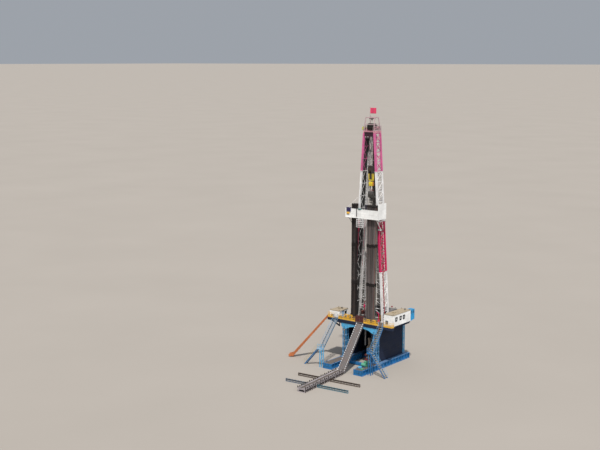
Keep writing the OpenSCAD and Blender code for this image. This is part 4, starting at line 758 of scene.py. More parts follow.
def cable_trays():
    """Trays with black cables and hoses up the mast: on the left side panel and behind the back panel."""
    m = Mesh()
    # left side panel: a wide tray on its inner face, tied to the legs, with flat lattice bars in front
    za, zb = FLOOR + 0.25, 26.55

    def at(z, y, o=0.0):
        return V(-half_at(z) + 0.092 + o, y, z)
    for y in (0.115, 1.065):
        m.bar(at(za, y, -0.004), at(zb, y, -0.004), 0.024, 0.05, 0, (0, 1, 0))
    k = int((zb - za) / 0.42)
    for i in range(k + 1):
        z = za + (zb - za) * i / k
        m.bar(at(z, 0.10, -0.018), at(z, 1.08, -0.018), 0.012, 0.03, 0, (0, 0, 1))
        if i % 3 == 0:
            for y in (0.10, 1.08):
                m.bar(at(z, y, -0.02), at(z, y, -0.05), 0.05, 0.05, 0, (0, 0, 1))
    rnd = random.Random(3)
    for j in range(21):
        y = 0.145 + 0.0445 * j
        r = rnd.choice((0.014, 0.017, 0.020))
        m.pipe([at(lerp(za - 0.15, zb + 0.03, i / 16), y) + V(0, rnd.uniform(-1, 1) * 0.003, 0) for i in range(17)], r, 8, 1)
    for z, q in ((za - 0.17, 0), (zb + 0.02, 1)):
        c = at(z, 0.59)
        m.box((c.x - 0.035, 0.10, z - (0.075 if not q else 0.02)), (c.x + 0.045, 1.08, z + (0.10 if not q else 0.16)), 2, 0.012)
    for sct in range(4):
        lo, hi = max(LEVELS[sct], za + 0.1), min(LEVELS[sct + 1], zb - 0.1)
        n = int(round((hi - lo) / 0.78))
        for i in range(n):
            a, b = lerp(lo, hi, i / n) + 0.02, lerp(lo, hi, (i + 1) / n) - 0.02
            ya, yb = (0.16, 0.62) if i % 2 else (0.62, 0.16)
            m.bar(at(a, ya, 0.036), at(b, yb, 0.036), 0.010, 0.062, 5 if sct == 3 else 4, (0, 1, 0))
            if i % 2:
                m.bar(at(b, 0.12, 0.032), at(b, 1.04, 0.032), 0.010, 0.055, 5 if sct == 3 else 4, (0, 0, 1))
    # back panel: a narrow tray behind it, right of the middle
    za, zb = FLOOR + 0.25, 16.9
    x0, x1, y = 0.44, 0.86, DEPTH + 0.125
    for x in (x0 - 0.02, x1 + 0.02):
        m.bar((x, y, za), (x, y, zb), 0.012, 0.05, 0, (0, 1, 0))
    k = int((zb - za) / 0.42)
    for i in range(k + 1):
        z = za + (zb - za) * i / k
        m.bar((x0 - 0.03, y + 0.024, z), (x1 + 0.03, y + 0.024, z), 0.03, 0.012, 0, (0, 1, 0))
        if i % 4 == 1:
            m.bar((half_at(z) - 0.05, DEPTH + 0.075, z), (x1, y + 0.01, z), 0.04, 0.04, 0)
            m.bar((-half_at(z) + 0.05, DEPTH + 0.075, z), (x0, y + 0.01, z), 0.04, 0.04, 0)
    for j in range(9):
        x = x0 + 0.02 + 0.0475 * j
        r = rnd.choice((0.014, 0.018, 0.021))
        m.pipe([(x + rnd.uniform(-1, 1) * 0.004, y, lerp(za - 0.15, zb + 0.03, i / 12)) for i in range(13)], r, 8, 1)
    for z, q in ((za - 0.17, 0), (zb + 0.02, 1)):
        m.box((x0 - 0.03, y - 0.05, z - (0.075 if not q else 0.02)), (x1 + 0.03, y + 0.05, z + (0.10 if not q else 0.18)), 2, 0.012)
    # a wider tray behind the back panel, beside the left rear leg, and a pale duct next to it
    za, zb = FLOOR + 0.25, 12.7
    k = int((zb - za) / 0.42)
    for i in range(k + 1):
        z = za + (zb - za) * i / k
        m.bar((-half_at(z) + 0.10, y + 0.024, z), (-half_at(z) + 0.68, y + 0.024, z), 0.03, 0.012, 0, (0, 1, 0))
        if i % 4 == 1:
            m.bar((-half_at(z) + 0.05, DEPTH + 0.075, z), (-half_at(z) + 0.14, y + 0.01, z), 0.04, 0.04, 0)
    for j in range(12):
        o = 0.12 + 0.0475 * j
        r = rnd.choice((0.015, 0.018, 0.021))
        m.pipe([(-half_at(z) + o + rnd.uniform(-1, 1) * 0.003, y, z) for z in [lerp(za - 0.15, zb + 0.03, i / 12) for i in range(13)]], r, 8, 1)
    for z, q in ((za - 0.17, 0), (zb + 0.02, 1)):
        m.box((-half_at(z) + 0.07, y - 0.05, z - (0.075 if not q else 0.02)), (-half_at(z) + 0.71, y + 0.05, z + (0.10 if not q else 0.18)), 2, 0.012)
    m.box((-1.34, y - 0.055, FLOOR), (-1.17, y - 0.025, 13.1), 4, 0.006)
    for i in range(9):
        m.box((-1.36, y - 0.060, FLOOR + 0.4 + 0.9 * i), (-1.15, y - 0.024, FLOOR + 0.46 + 0.9 * i), 0)
    # right side panel: dark red pipes low down, black cables above, each between two boxes
    for za, zb, ys, rr, kk in ((11.25, 17.25, (0.26, 0.36, 0.52, 0.62, 0.78, 0.88), 0.030, 6), (17.75, 26.5, (0.17, 0.21, 0.25, 0.29, 0.33, 0.37), 0.018, 1)):
        for yy in ys:
            m.pipe([V(half_at(z) - 0.092, yy + rnd.uniform(-1, 1) * 0.003, z) for z in [lerp(za, zb, i / 10) for i in range(11)]], rr, 8, kk)
        for z in (za, zb):
            m.box((half_at(z) - 0.14, ys[0] - 0.06, z - 0.07), (half_at(z) - 0.045, ys[-1] + 0.06, z + 0.07), 2, 0.012)
        n = int((zb - za) / 0.9)
        for i in range(1, n):
            z = lerp(za, zb, i / n)
            m.bar((half_at(z) - 0.092 + rr + 0.006, 0.08, z), (half_at(z) - 0.092 + rr + 0.006, 1.10, z), 0.010, 0.035, 0, (0, 0, 1))
    # lamps: body, hood and glass on a short arm
    for s in (-1, 1):
        for z in (8.6, 12.6, 15.6, 20.0, 24.2):
            p = V(s * (half_at(z) - 0.10), 0.0, z)
            m.bar(p, p + V(-s * 0.10, -0.06, 0.0), 0.02, 0.02, 0)
            m.box(p + V(-s * 0.10 - 0.06, -0.17, -0.05), p + V(-s * 0.10 + 0.06, -0.05, 0.03), 2, 0.012)
            m.box(p + V(-s * 0.10 - 0.05, -0.16, -0.066), p + V(-s * 0.10 + 0.05, -0.06, -0.052), 3, 0.005)
    m.make("mast_cables_and_lamps", "rig", ["galvanised", "hose_black", "machine_grey", "lamp_glass", "mast_white", "mast_magenta", "pipe_red"])


cable_trays()


def ladder_cage():
    m = Mesh()
    za, zb = FLOOR + 2.3, 25.0
    y = DEPTH - 0.21
    k = int((zb - za) / 0.36)
    hoops = []
    for i in range(k + 1):
        z = za + (zb - za) * i / k
        c = V(-half_at(z) + 0.33, y, z)
        pts = [c + V(0.19 * math.cos(a), -0.02 - 0.30 * math.sin(a), 0) for a in [math.pi * t / 8 for t in range(9)]]
        hoops.append(pts)
        for a, b in zip(pts, pts[1:]):
            m.bar(a, b, 0.006, 0.035, 0, (0, 0, 1))
    for j in (1, 3, 4, 5, 7):
        for a, b in zip(hoops, hoops[1:]):
            m.bar(a[j], b[j], 0.022, 0.006, 0)
    for z in [za + i * 1.1 for i in range(18)]:
        if z < zb:
            x = -half_at(z)
            for o in (0.19, 0.47):
                m.bar((x + o, y + 0.02, z), (x + o * 0.4, DEPTH - 0.09, z), 0.03, 0.03, 0)
    # flat rail of the fall arrester up the middle of the ladder
    za = FLOOR + 0.35
    m.bar((-half_at(za) + 0.33, y + 0.035, za), (-half_at(zb) + 0.33, y + 0.035, zb), 0.014, 0.11, 0, (0, 1, 0))
    m.make("ladder_cage", "rig", ["mast_white"])


ladder_cage()


# ------------------------------------------------------------------- hoist
BZ = 22.15


def rope(m, pts, r=0.0125, k=0, n=12):
    """A wire rope as a rod with a lobed six-strand section, level rings at the points."""
    vs = []
    for c in pts:
        c = Vector(c)
        for i in range(n):
            t = 2 * math.pi * i / n
            rr = r * (1.0 if i % 2 == 0 else 0.86)
            vs.append(c + V(rr * math.cos(t), rr * math.sin(t), 0))
    q = len(pts)
    fs = [(g * n + i, g * n + (i + 1) % n, (g + 1) * n + (i + 1) % n, (g + 1) * n + i) for g in range(q - 1) for i in range(n)]
    fs += [tuple(reversed(range(n))), tuple(range((q - 1) * n, q * n))]
    m.raw(vs, fs, k)


def sheave_mesh(m, c, r, w, k=0, hub=None):
    c = Vector(c)
    h = w / 2
    prof = [(0.04, -h), (r, -h), (r, -h + 0.008), (r - 0.030, -0.008), (r - 0.030, 0.008), (r, h - 0.008), (r, h), (0.04, h)]
    m.lathe(c, (1, 0, 0), prof, 40, k)
    hub = hub or r * 0.28
    m.tube(c - V(h + 0.004, 0, 0), c + V(h + 0.004, 0, 0), hub, 20, k)


def travelling_block():
    m = Mesh()
    y = 0.52
    Y, D, S, O = 0, 1, 2, 3
    # outer plates: yellow below, oily dark over the sheaves
    for s in (-1, 1):
        x = s * 0.235
        lo = [(-0.22, -0.12), (-0.16, -0.42), (0.16, -0.42), (0.22, -0.12), (0.25, 0.40), (-0.25, 0.40)]
        m.plate([(x, y + a, BZ + b) for a, b in lo], (1, 0, 0), 0.05, Y)
        up = [(-0.27, 0.404), (0.27, 0.404), (0.385, 0.86), (0.30, 1.285), (-0.30, 1.285), (-0.385, 0.86)]
        m.plate([(x, y + a, BZ + b) for a, b in up], (1, 0, 0), 0.046, D)
        # rim, ribs and pin keeper
        for a, b in zip(up[1:5], up[2:5]):
            m.bar((x + s * 0.012, y + a[0] * 0.985, BZ + a[1]), (x + s * 0.012, y + b[0] * 0.985, BZ + b[1]), 0.03, 0.02, D, (1, 0, 0))
        m.tube((x, y, BZ + 0.86), (x + s * 0.022, y, BZ + 0.86), 0.10, 24, D)
        for j in range(8):
            t = 2 * math.pi * j / 8
            m.bolt((x + s * 0.018, y + 0.13 * math.cos(t), BZ + 0.86 + 0.13 * math.sin(t)), (s, 0, 0), 0.013, 0.016, S)
        for zz in (-0.30, -0.10, 0.12, 0.32):
            for yy in (-0.16, 0.16):
                m.bolt((x + s * 0.02, y + yy * (0.7 if zz < -0.2 else 1.05), BZ + zz), (s, 0, 0), 0.016, 0.016, S)
        m.box((x - 0.025 * s, y - 0.05, BZ - 0.05), (x + s * 0.024, y + 0.05, BZ + 0.30), Y, 0.01)
    # hood bars over the sheaves
    for yy in (-0.27, -0.09, 0.09, 0.27):
        m.tube((-0.23, y + yy, BZ + 1.262), (0.23, y + yy, BZ + 1.262), 0.018, 10, D)
    m.box((-0.25, y - 0.06, BZ + 1.25), (0.25, y + 0.06, BZ + 1.29), D, 0.01)
    for i in range(5):
        sheave_mesh(m, (-0.164 + 0.082 * i, y, BZ + 0.86), 0.352, 0.054, S, 0.09)
    m.tube((-0.25, y, BZ + 0.86), (0.25, y, BZ + 0.86), 0.055, 20, S)
    # inner housing between the yellow plates, in shade colour, with yellow edge strips
    m.box((-0.205, y - 0.115, BZ - 0.31), (0.205, y + 0.115, BZ + 0.47), D, 0.02)
    for xx in (-0.10, 0.10):
        m.box((xx - 0.015, y - 0.135, BZ - 0.28), (xx + 0.015, y + 0.135, BZ + 0.44), D)
    m.box((-0.25, y - 0.16, BZ - 0.42), (0.25, y + 0.16, BZ - 0.30), Y, 0.02)
    # hook swivel and hook box
    m.lathe((0, y, BZ - 0.56), (0, 0, 1), [(0.07, 0.0), (0.085, 0.03), (0.085, 0.11), (0.065, 0.16)], 24, D)
    m.box((-0.245, y - 0.20, BZ - 1.06), (0.235, y + 0.20, BZ - 0.545), Y, 0.045)
    m.box((-0.225, y - 0.215, BZ - 1.00), (-0.015, y - 0.195, BZ - 0.60), Y, 0.008)
    m.box((0.03, y - 0.215, BZ - 1.00), (0.20, y - 0.195, BZ - 0.60), Y, 0.008)
    for xx in (-0.20, -0.04, 0.055, 0.18):
        for zz in (-0.96, -0.64):
            m.bolt((xx, y - 0.214, BZ + zz), (0, -1, 0), 0.011, 0.010, S)
    # orange-brown latch side and the two side bails
    m.box((0.236, y - 0.115, BZ - 1.03), (0.325, y + 0.115, BZ - 0.565), O, 0.03)
    m.tube((0.28, y - 0.14, BZ - 0.80), (0.28, y + 0.14, BZ - 0.80), 0.05, 18, O)
    m.box((-0.298, y - 0.10, BZ - 1.00), (-0.247, y + 0.10, BZ - 0.60), D, 0.015)
    for s in (-1, 1):
        m.tube((s * 0.15, y - 0.23, BZ - 0.86), (s * 0.15, y + 0.23, BZ - 0.86), 0.04, 16, D)
    m.make("travelling_block_detail", "hoist", ["block_yellow", "drive_dark", "sheave_steel", "hook_orange"], ["travelling_block"])


travelling_block()


def top_drive():
    m = Mesh()
    y = 0.52
    z = BZ - 1.064
    D, S, G, H = 0, 1, 2, 3
    # links from the hook box to the drive
    for s in (-1, 1):
        m.pipe([(s * 0.17, y, z - 0.005), (s * 0.175, y, z - 0.12), (s * 0.185, y, z - 0.34), (s * 0.18, y, z - 0.56), (s * 0.17, y, z - 0.62)], 0.034, 12, S,
               [0.046, 0.036, 0.032, 0.036, 0.046])
        m.tube((s * 0.17, y - 0.07, z - 0.60), (s * 0.17, y + 0.07, z - 0.60), 0.055, 16, S)
    # gearbox with ribs, cover and bolts
    m.box((-0.325, y - 0.20, z - 1.345), (0.325, y + 0.20, z - 0.90), D, 0.04)
    m.box((-0.28, y - 0.255, z - 1.30), (0.28, y - 0.195, z - 0.95), D, 0.02)
    for xx in (-0.30, -0.15, 0.0, 0.15, 0.30):
        m.box((xx - 0.012, y - 0.225, z - 1.33), (xx + 0.012, y + 0.225, z - 0.905), D)
    for j in range(6):
        for zz in (-1.28, -0.97):
            m.bolt((-0.24 + 0.096 * j, y - 0.254, z + zz), (0, -1, 0), 0.012, 0.012, S)
    # two motors with cooling fins and hoods
    for s in (-1, 1):
        c = V(s * 0.165, y + 0.02, z - 0.90)
        prof = [(0.145, 0.0), (0.15, 0.012)]
        for i in range(7):
            prof += [(0.15, 0.03 + i * 0.03), (0.138, 0.034 + i * 0.03), (0.138, 0.048 + i * 0.03), (0.15, 0.052 + i * 0.03)]
        prof += [(0.15, 0.26), (0.12, 0.295)]
        m.lathe(c, (0, 0, 1), prof, 24, G)
    # washpipe bonnet and bail block
    m.lathe((0, y, z - 0.905), (0, 0, 1), [(0.09, 0), (0.09, 0.1), (0.06, 0.14), (0.05, 0.29)], 20, S)
    m.box((-0.33, y - 0.05, z - 0.66), (0.33, y + 0.05, z - 0.602), D, 0.015)
    m.pipe([(0, y, z - 0.62), (0, y, z - 0.50), (0.02, y + 0.04, z - 0.42), (0.06, y + 0.11, z - 0.40), (0.10, y + 0.20, z - 0.46), (0.11, y + 0.25, z - 0.62)], 0.03, 12, H)
    # rear frame that runs on the rail, blower and ducts
    m.box((-0.118, y + 0.295, z - 1.295), (0.118, y + 0.515, z - 0.705), D, 0.02)
    for zz in (-1.28, -0.74):
        m.box((-0.29, y + 0.20, z + zz - 0.05), (0.29, y + 0.34, z + zz + 0.05), D, 0.01)
        for s in (-1, 1):
            m.tube((s * 0.24, y + 0.30, z + zz), (s * 0.29, y + 0.30, z + zz), 0.075, 20, S)
    for s in (-1, 1):
        m.pipe([(s * 0.20, y + 0.12, z - 0.70), (s * 0.21, y + 0.20, z - 0.66), (s * 0.21, y + 0.26, z - 0.74), (s * 0.20, y + 0.27, z - 0.95)], 0.05, 12, G)
        m.bar((s * 0.295, y + 0.26, z - 1.34), (s * 0.295, y + 0.26, z - 0.62), 0.04, 0.05, D, (0, 1, 0))
    # pipe handler, links and elevator
    m.lathe((0, y, z - 1.75), (0, 0, 1), [(0.13, 0.0), (0.15, 0.02), (0.15, 0.18), (0.135, 0.2), (0.135, 0.34), (0.15, 0.36), (0.15, 0.41)], 28, D)
    m.lathe((0, y, z - 2.05), (0, 0, 1), [(0.05, 0.0), (0.06, 0.02), (0.06, 0.32)], 20, S)
    for s in (-1, 1):
        m.pipe([(s * 0.24, y, z - 1.36), (s * 0.245, y, z - 1.50), (s * 0.24, y, z - 1.80), (s * 0.232, y, z - 1.94)], 0.026, 12, S,
               [0.034, 0.026, 0.024, 0.034])
        m.bar((s * 0.16, y - 0.10, z - 1.42), (s * 0.235, y - 0.02, z - 1.66), 0.03, 0.03, G)
    m.lathe((0, y, z - 1.99), (0, 0, 1), [(0.075, 0.0), (0.13, 0.015), (0.13, 0.075), (0.09, 0.09)], 24, D)
    for s in (-1, 1):
        m.box((s * 0.115 - 0.03, y - 0.055, z - 1.985), (s * 0.235 + 0.03, y + 0.055, z - 1.905), D, 0.012)
    # dark guards and hoses at the sides that fill the drive's outline
    for s in (-1, 1):
        m.box((s * 0.302, y - 0.17, z - 1.32), (s * 0.328, y + 0.17, z - 0.62), D, 0.008)
        for j in range(3):
            m.pipe([(s * (0.25 + 0.02 * j), y + 0.10 + 0.04 * j, z - 0.62), (s * (0.27 + 0.01 * j), y + 0.12 + 0.04 * j, z - 0.45), (s * (0.255 + 0.01 * j), y + 0.14 + 0.04 * j, z - 0.25), (s * 0.195, y + 0.13 + 0.02 * j, z + 0.03)], 0.014, 8, 4)
    m.make("top_drive_detail", "hoist", ["drive_dark", "sheave_steel", "machine_grey", "pipe_red", "hose_black"], ["top_drive"])


top_drive()


def drilling_lines():
    m = Mesh()
    z0, zs = BZ + 1.292, 27.976
    for i in range(5):
        for q, j in ((1, i), (-1, i + 1)):
            x, y = -0.375 + 0.15 * j, 0.52 + q * 0.359
            rope(m, [(-0.164 + 0.082 * i, 0.52 + q * 0.332, z0), (x, y, zs - 0.16), (x, y, zs)])
    ob = m.make("drilling_line_ropes", None, ["wire"], ["drilling_lines"])
    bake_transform(ob)


drilling_lines()


# ------------------------------------------------------------ crown, flag
def crown():
    m = Mesh()
    P, D, S, Y, G = 0, 1, 2, 3, 4
    zt = 27.512
    m.grating(-0.76, -0.54, -0.09, 1.29, zt + 0.022, 0.06, 0.006, 0.02, G)
    m.grating(0.54, 0.76, -0.09, 1.29, zt + 0.022, 0.06, 0.006, 0.02, G)
    # stiffeners and bolts round the platform
    for i in range(9):
        x = -0.74 + 1.48 * i / 8
        for y, q in ((-0.115, -1), (1.315, 1)):
            m.box((x - 0.008, y, 27.285), (x + 0.008, y + q * 0.014, 27.485), P)
            m.bolt((x + 0.06, y, 27.30), (0, q, 0), 0.009, 0.01, S)
    for i in range(8):
        y = -0.06 + 1.32 * i / 7
        for s in (-1, 1):
            m.box((s * 0.78, y - 0.008, 27.285), (s * 0.794, y + 0.008, 27.485), P)
            m.bolt((s * 0.78, y + 0.06, 27.46), (s, 0, 0), 0.009, 0.01, S)
    # cheek plates: bearing caps with bolts
    for s in (-1, 1):
        m.tube((s * 0.545, 0.52, 27.98), (s * 0.60, 0.52, 27.98), 0.115, 24, D)
        for j in range(8):
            t = 2 * math.pi * j / 8 + 0.2
            m.bolt((s * 0.60, 0.52 + 0.092 * math.cos(t), 27.98 + 0.092 * math.sin(t)), (s, 0, 0), 0.011, 0.012, S)
    # lifting beam of the top frame: trolley and a hanging block
    m.box((-0.10, 0.47, 28.83), (0.10, 0.57, 28.96), D, 0.01)
    m.tube((-0.05, 0.52, 28.76), (0.05, 0.52, 28.76), 0.07, 20, D)
    m.pipe([(0, 0.52, 28.70), (0, 0.52, 28.62), (0.03, 0.52, 28.57), (0.03, 0.52, 28.53), (-0.01, 0.52, 28.51)], 0.012, 8, S)
    # rail of the crown: posts, rails and toe boards in tube
    for a, b in (((-0.765, -0.10), (-0.765, 1.30)), ((0.765, -0.10), (0.765, 1.30)), ((-0.765, -0.10), (-0.58, -0.10)), ((0.765, -0.10), (0.58, -0.10)),
                 ((-0.765, 1.30), (0.10, 1.30))):
        rail_run(m, [V(a[0], a[1], zt), V(b[0], b[1], zt)], 0.50, 0.46, 7, None, 0.012, True)
    # small yellow-green floodlight carrier at the left of the crown
    m.bar((-0.78, 0.50, 27.60), (-0.99, 0.50, 27.66), 0.04, 0.05, D)
    m.box((-1.26, 0.36, 27.54), (-0.86, 0.66, 27.92), Y, 0.02)
    m.box((-1.24, 0.345, 27.58), (-0.88, 0.358, 27.88), Y, 0.003)
    for j in range(4):
        m.box((-1.25, 0.66, 27.60 + 0.07 * j), (-0.87, 0.675, 27.63 + 0.07 * j), D)
    # beacon and stays of the pole
    m.lathe((-0.59, 0.979, 30.10), (0, 0, 1), [(0.018, 0.0), (0.03, 0.01), (0.03, 0.03), (0.022, 0.035), (0.022, 0.075), (0.012, 0.09)], 14, S)
    for a in ((-0.45, 0.90), (-0.59, 1.12)):
        m.tube((-0.59, 0.979, 29.40), (a[0], a[1], 29.0), 0.006, 6, S)
    # dark face of the lower half of the platform, header ribs
    m.box((-0.62, -0.132, 27.262), (0.62, -0.1155, 27.390), 6, 0.004)
    for i in range(7):
        x = -0.57 + 1.14 * i / 6
        m.box((x - 0.008, -0.108, 27.03), (x + 0.008, -0.094, 27.24), 6)
    m.box((-0.60, -0.092, 26.86), (0.60, -0.070, 27.255), 6, 0.004)
    # flanges of the lifting beam, and boxes on the right side of the platform
    m.box((-0.50, 0.42, 28.965), (0.46, 0.60, 29.06), P, 0.008)
    m.box((-0.36, 0.46, 28.86), (0.44, 0.58, 28.93), 6, 0.006)
    m.box((0.60, 0.38, 27.53), (0.74, 0.62, 27.84), 6, 0.012)
    m.box((0.61, 0.42, 27.96), (0.73, 0.58, 28.14), 6, 0.012)
    m.bar((0.67, 0.50, 27.83), (0.67, 0.50, 27.97), 0.03, 0.03, S, (0, 1, 0))
    m.make("crown_detail", "rig", ["mast_pink", "crown_dark", "bolt_steel", "lamp_yellow", "grate_steel", "lamp_glass", "crown_dark", "crown_pale"])


crown()


def flag():
    """A waving sheet of cloth: straight lines run down it, so it is a true bent flat sheet."""
    n, w, h = 60, 0.795, 0.66
    turn = math.radians(8)
    pts, x, y = [], 0.0, 0.0
    for i in range(n + 1):
        s = i / n
        pts.append((x, y))
        th = 0.62 * s ** 0.6 * math.sin(2 * math.pi * (s * 1.55 + 0.08)) - 0.02
        x += w / n * math.cos(th)
        y += w / n * math.sin(th)
    k = 14
    vs, fs = [], []
    for i, (px, py) in enumerate(pts):
        for j in range(k + 1):
            z = 29.452 + h * j / k
            xx = -0.566 + px * math.cos(turn) - py * math.sin(turn)
            yy = 0.979 + px * math.sin(turn) + py * math.cos(turn)
            vs.append((xx + SX, yy + SY, z))
    for i in range(n):
        for j in range(k):
            a = i * (k + 1) + j
            fs.append((a, a + k + 1, a + k + 2, a + 1))
    me = bpy.data.meshes.new("flag_cloth")
    me.from_pydata(vs, [], fs)
    me.materials.append(material("flag_red"))
    for p in me.polygons:
        p.use_smooth = True
    ob = bpy.data.objects.new("flag_cloth", me)
    bpy.context.scene.collection.objects.link(ob)
    sol = ob.modifiers.new("thickness", "SOLIDIFY")
    sol.thickness = 0.003
    sol.offset = 0
    dg = bpy.context.evaluated_depsgraph_get()
    me2 = bpy.data.meshes.new_from_object(ob.evaluated_get(dg))
    ob.modifiers.clear()
    ob.data = me2
    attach(ob, "rig")
    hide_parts("flag")
    # hem tapes, eyelets and the halyard that hold it on the pole
    m = Mesh()
    m.bar((-0.568, 0.979, 29.452), (-0.568, 0.979, 29.452 + h), 0.012, 0.012, 0)
    for z in (29.47, 29.78, 30.09):
        m.tube((-0.602, 0.979, z), (-0.560, 0.979, z), 0.010, 10, 1)
    m.tube((-0.575, 0.990, 28.9), (-0.575, 0.990, 30.12), 0.003, 6, 0)
    trim = m.make("flag_hem", "rig", ["cabin_white", "bolt_steel"])


flag()


# ---------------------------------------------------------- racking board
def racking_board():
    m = Mesh()
    W, G, C, B, Y, T, D = range(7)
    z = 17.592
    for s in (-1, 1):
        x0, x1 = (1.49, 2.18) if s > 0 else (-2.18, -1.49)
        m.grating(x0, x1, -0.23, 0.15, z + 0.004, 0.06, 0.006, 0.022, G)
        # finger tips: rounded ends with latches
        for j in range(6):
            y = -0.975 + 0.12 * j
            xt = 0.26 if s > 0 else -0.48
            m.tube((xt, y, 17.515), (xt, y, 17.565), 0.017, 12, W)
            for i in range(11 if s > 0 else 9):
                xx = (0.36 + 0.16 * i) if s > 0 else (-2.05 + 0.16 * i)
                m.box((xx - 0.020, y - 0.018, 17.561), (xx + 0.020, y + 0.018, 17.578), D)
        # rails along the rear edge of the walkways
        rail_run(m, [V(s * 2.22, 0.20, z), V(s * 1.56, 0.20, z)], 0.52, 0.34, W, None, 0.013, False)
        # knee braces, hanger rods
        for y in (-1.25, -0.28):
            m.angle((s * 2.20, y, 17.50), (s * 1.62, y + (0.98 if y < -1 else 0.16), 16.85), 0.05, 0.008, W)
        m.tube((s * 2.22, -1.28, 18.52), (s * 1.40, -0.10, 19.75), 0.012, 8, W)
        m.tube((s * 2.22, 0.12, 18.52), (s * 1.33, 0.0, 19.75), 0.012, 8, W)
    # diving board grating and its rails
    m.grating(-0.34, 0.15, -1.31, -0.52, 17.560, 0.06, 0.006, 0.022, G)
    for x in (-0.36, 0.17):
        rail_run(m, [V(x, -1.30, 17.592), V(x, -0.62, 17.592)], 0.5, 0.34, W, None, 0.012, False)
    # wind wall: ribs in front and behind, cap angles
    for x0, x1 in ((-2.30, -0.82), (-0.64, 2.30)):
        n = int(round((x1 - x0) / 0.30))
        for i in range(n + 1):
            x = lerp(x0 + 0.012, x1 - 0.012, i / n)
            m.box((x - 0.010, -1.384, 17.50), (x + 0.010, -1.372, 18.545), C)
            m.box((x - 0.022, -1.342, 17.62), (x + 0.022, -1.306, 18.545), W)
        for zz in (17.50, 18.03, 18.548):
            m.box((x0, -1.388, zz - 0.012), (x1, -1.371, zz + 0.012), C)
        m.box((x0, -1.342, 18.515), (x1, -1.290, 18.55), W)
    for s, top in ((-1, 18.56), (1, 19.32)):
        for i in range(6):
            y = -1.30 + 1.52 * i / 5
            m.box((s * 2.300, y - 0.012, 17.49), (s * 2.310, y + 0.012, top - 0.006), C)
        m.box((s * 2.230, -1.33, top - 0.05), (s * 2.272, 0.245, top - 0.01), W)
    # dark-blue cover and a yellow strip at the left end, teal box by the opening
    m.box((-2.105, -1.480, 18.185), (-1.515, -1.386, 18.675), B, 0.02)
    for i in range(5):
        x = -2.05 + 0.12 * i
        m.box((x, -1.490, 18.20), (x + 0.03, -1.479, 18.66), B)
    m.box((-2.10, -1.440, 17.90), (-1.69, -1.388, 18.12), Y, 0.012)
    m.box((-2.08, -1.450, 17.86), (-1.71, -1.386, 17.905), D, 0.006)
    m.box((-0.50, -1.430, 18.50), (-0.10, -1.34, 18.615), T, 0.012)
    m.box((-0.47, -1.440, 18.52), (-0.13, -1.429, 18.60), D, 0.004)
    # near-black screen in its frame by the diving board: a dark sheet that stands in as painted shade in the middle of
    # the mast
    m.box((-0.16, -0.475, 17.60), (0.32, -0.455, 18.98), 7, 0.004)
    for i in range(6):
        m.box((-0.16 + 0.088 * i, -0.488, 17.62), (-0.14 + 0.088 * i, -0.475, 18.96), 7)
    for x in (-0.17, 0.33):
        m.bar((x, -0.465, 17.592), (x, -0.465, 19.0), 0.03, 0.03, W, (0, 1, 0))
    m.bar((-0.185, -0.465, 18.995), (0.345, -0.465, 18.995), 0.03, 0.03, 7)
    # escape line anchor and a small winch behind the wall
    m.box((1.95, -1.22, 17.592), (2.16, -1.02, 17.80), D, 0.02)
    m.tube((1.93, -1.12, 17.86), (2.18, -1.12, 17.86), 0.06, 18, D)
    m.make("racking_board_detail", "rig", ["mast_white", "grate_steel", "cabin_white", "cover_blue", "rail_yellow", "structure_teal", "dark_gap", "screen_dark"])


racking_board()


def basket():
    m = Mesh()
    x0, x1, y0, y1 = -0.46, 0.39, -1.75, -1.43
    z0, z1 = 16.50, 17.47
    m.grating(x0 + 0.02, x1 - 0.02, y0 + 0.02, y1 - 0.02, z0 + 0.045, 0.055, 0.006, 0.02, 1)
    for i in range(9):
        x = lerp(x0, x1, i / 8)
        for y in (y0 + 0.004, y1 - 0.004):
            m.tube((x, y, z0 + 0.02), (x, y, z1 - 0.04), 0.008, 6, 0)
    for k in range(6):
        x = x0 + 0.08 + 0.14 * k
        m.box((x - 0.03, y0 + 0.05, z0 + 0.06 + 0.12 * (k % 4)), (x + 0.05, y0 + 0.12, z0 + 0.16 + 0.12 * (k % 4)), 2, 0.008)
    for s in (x0, x1):
        m.tube((s, y1, z1 - 0.02), (s, -1.36, 18.3), 0.009, 6, 0)
    m.make("basket_detail", "rig", ["cabin_white", "grate_steel", "dark_gap"])


basket()


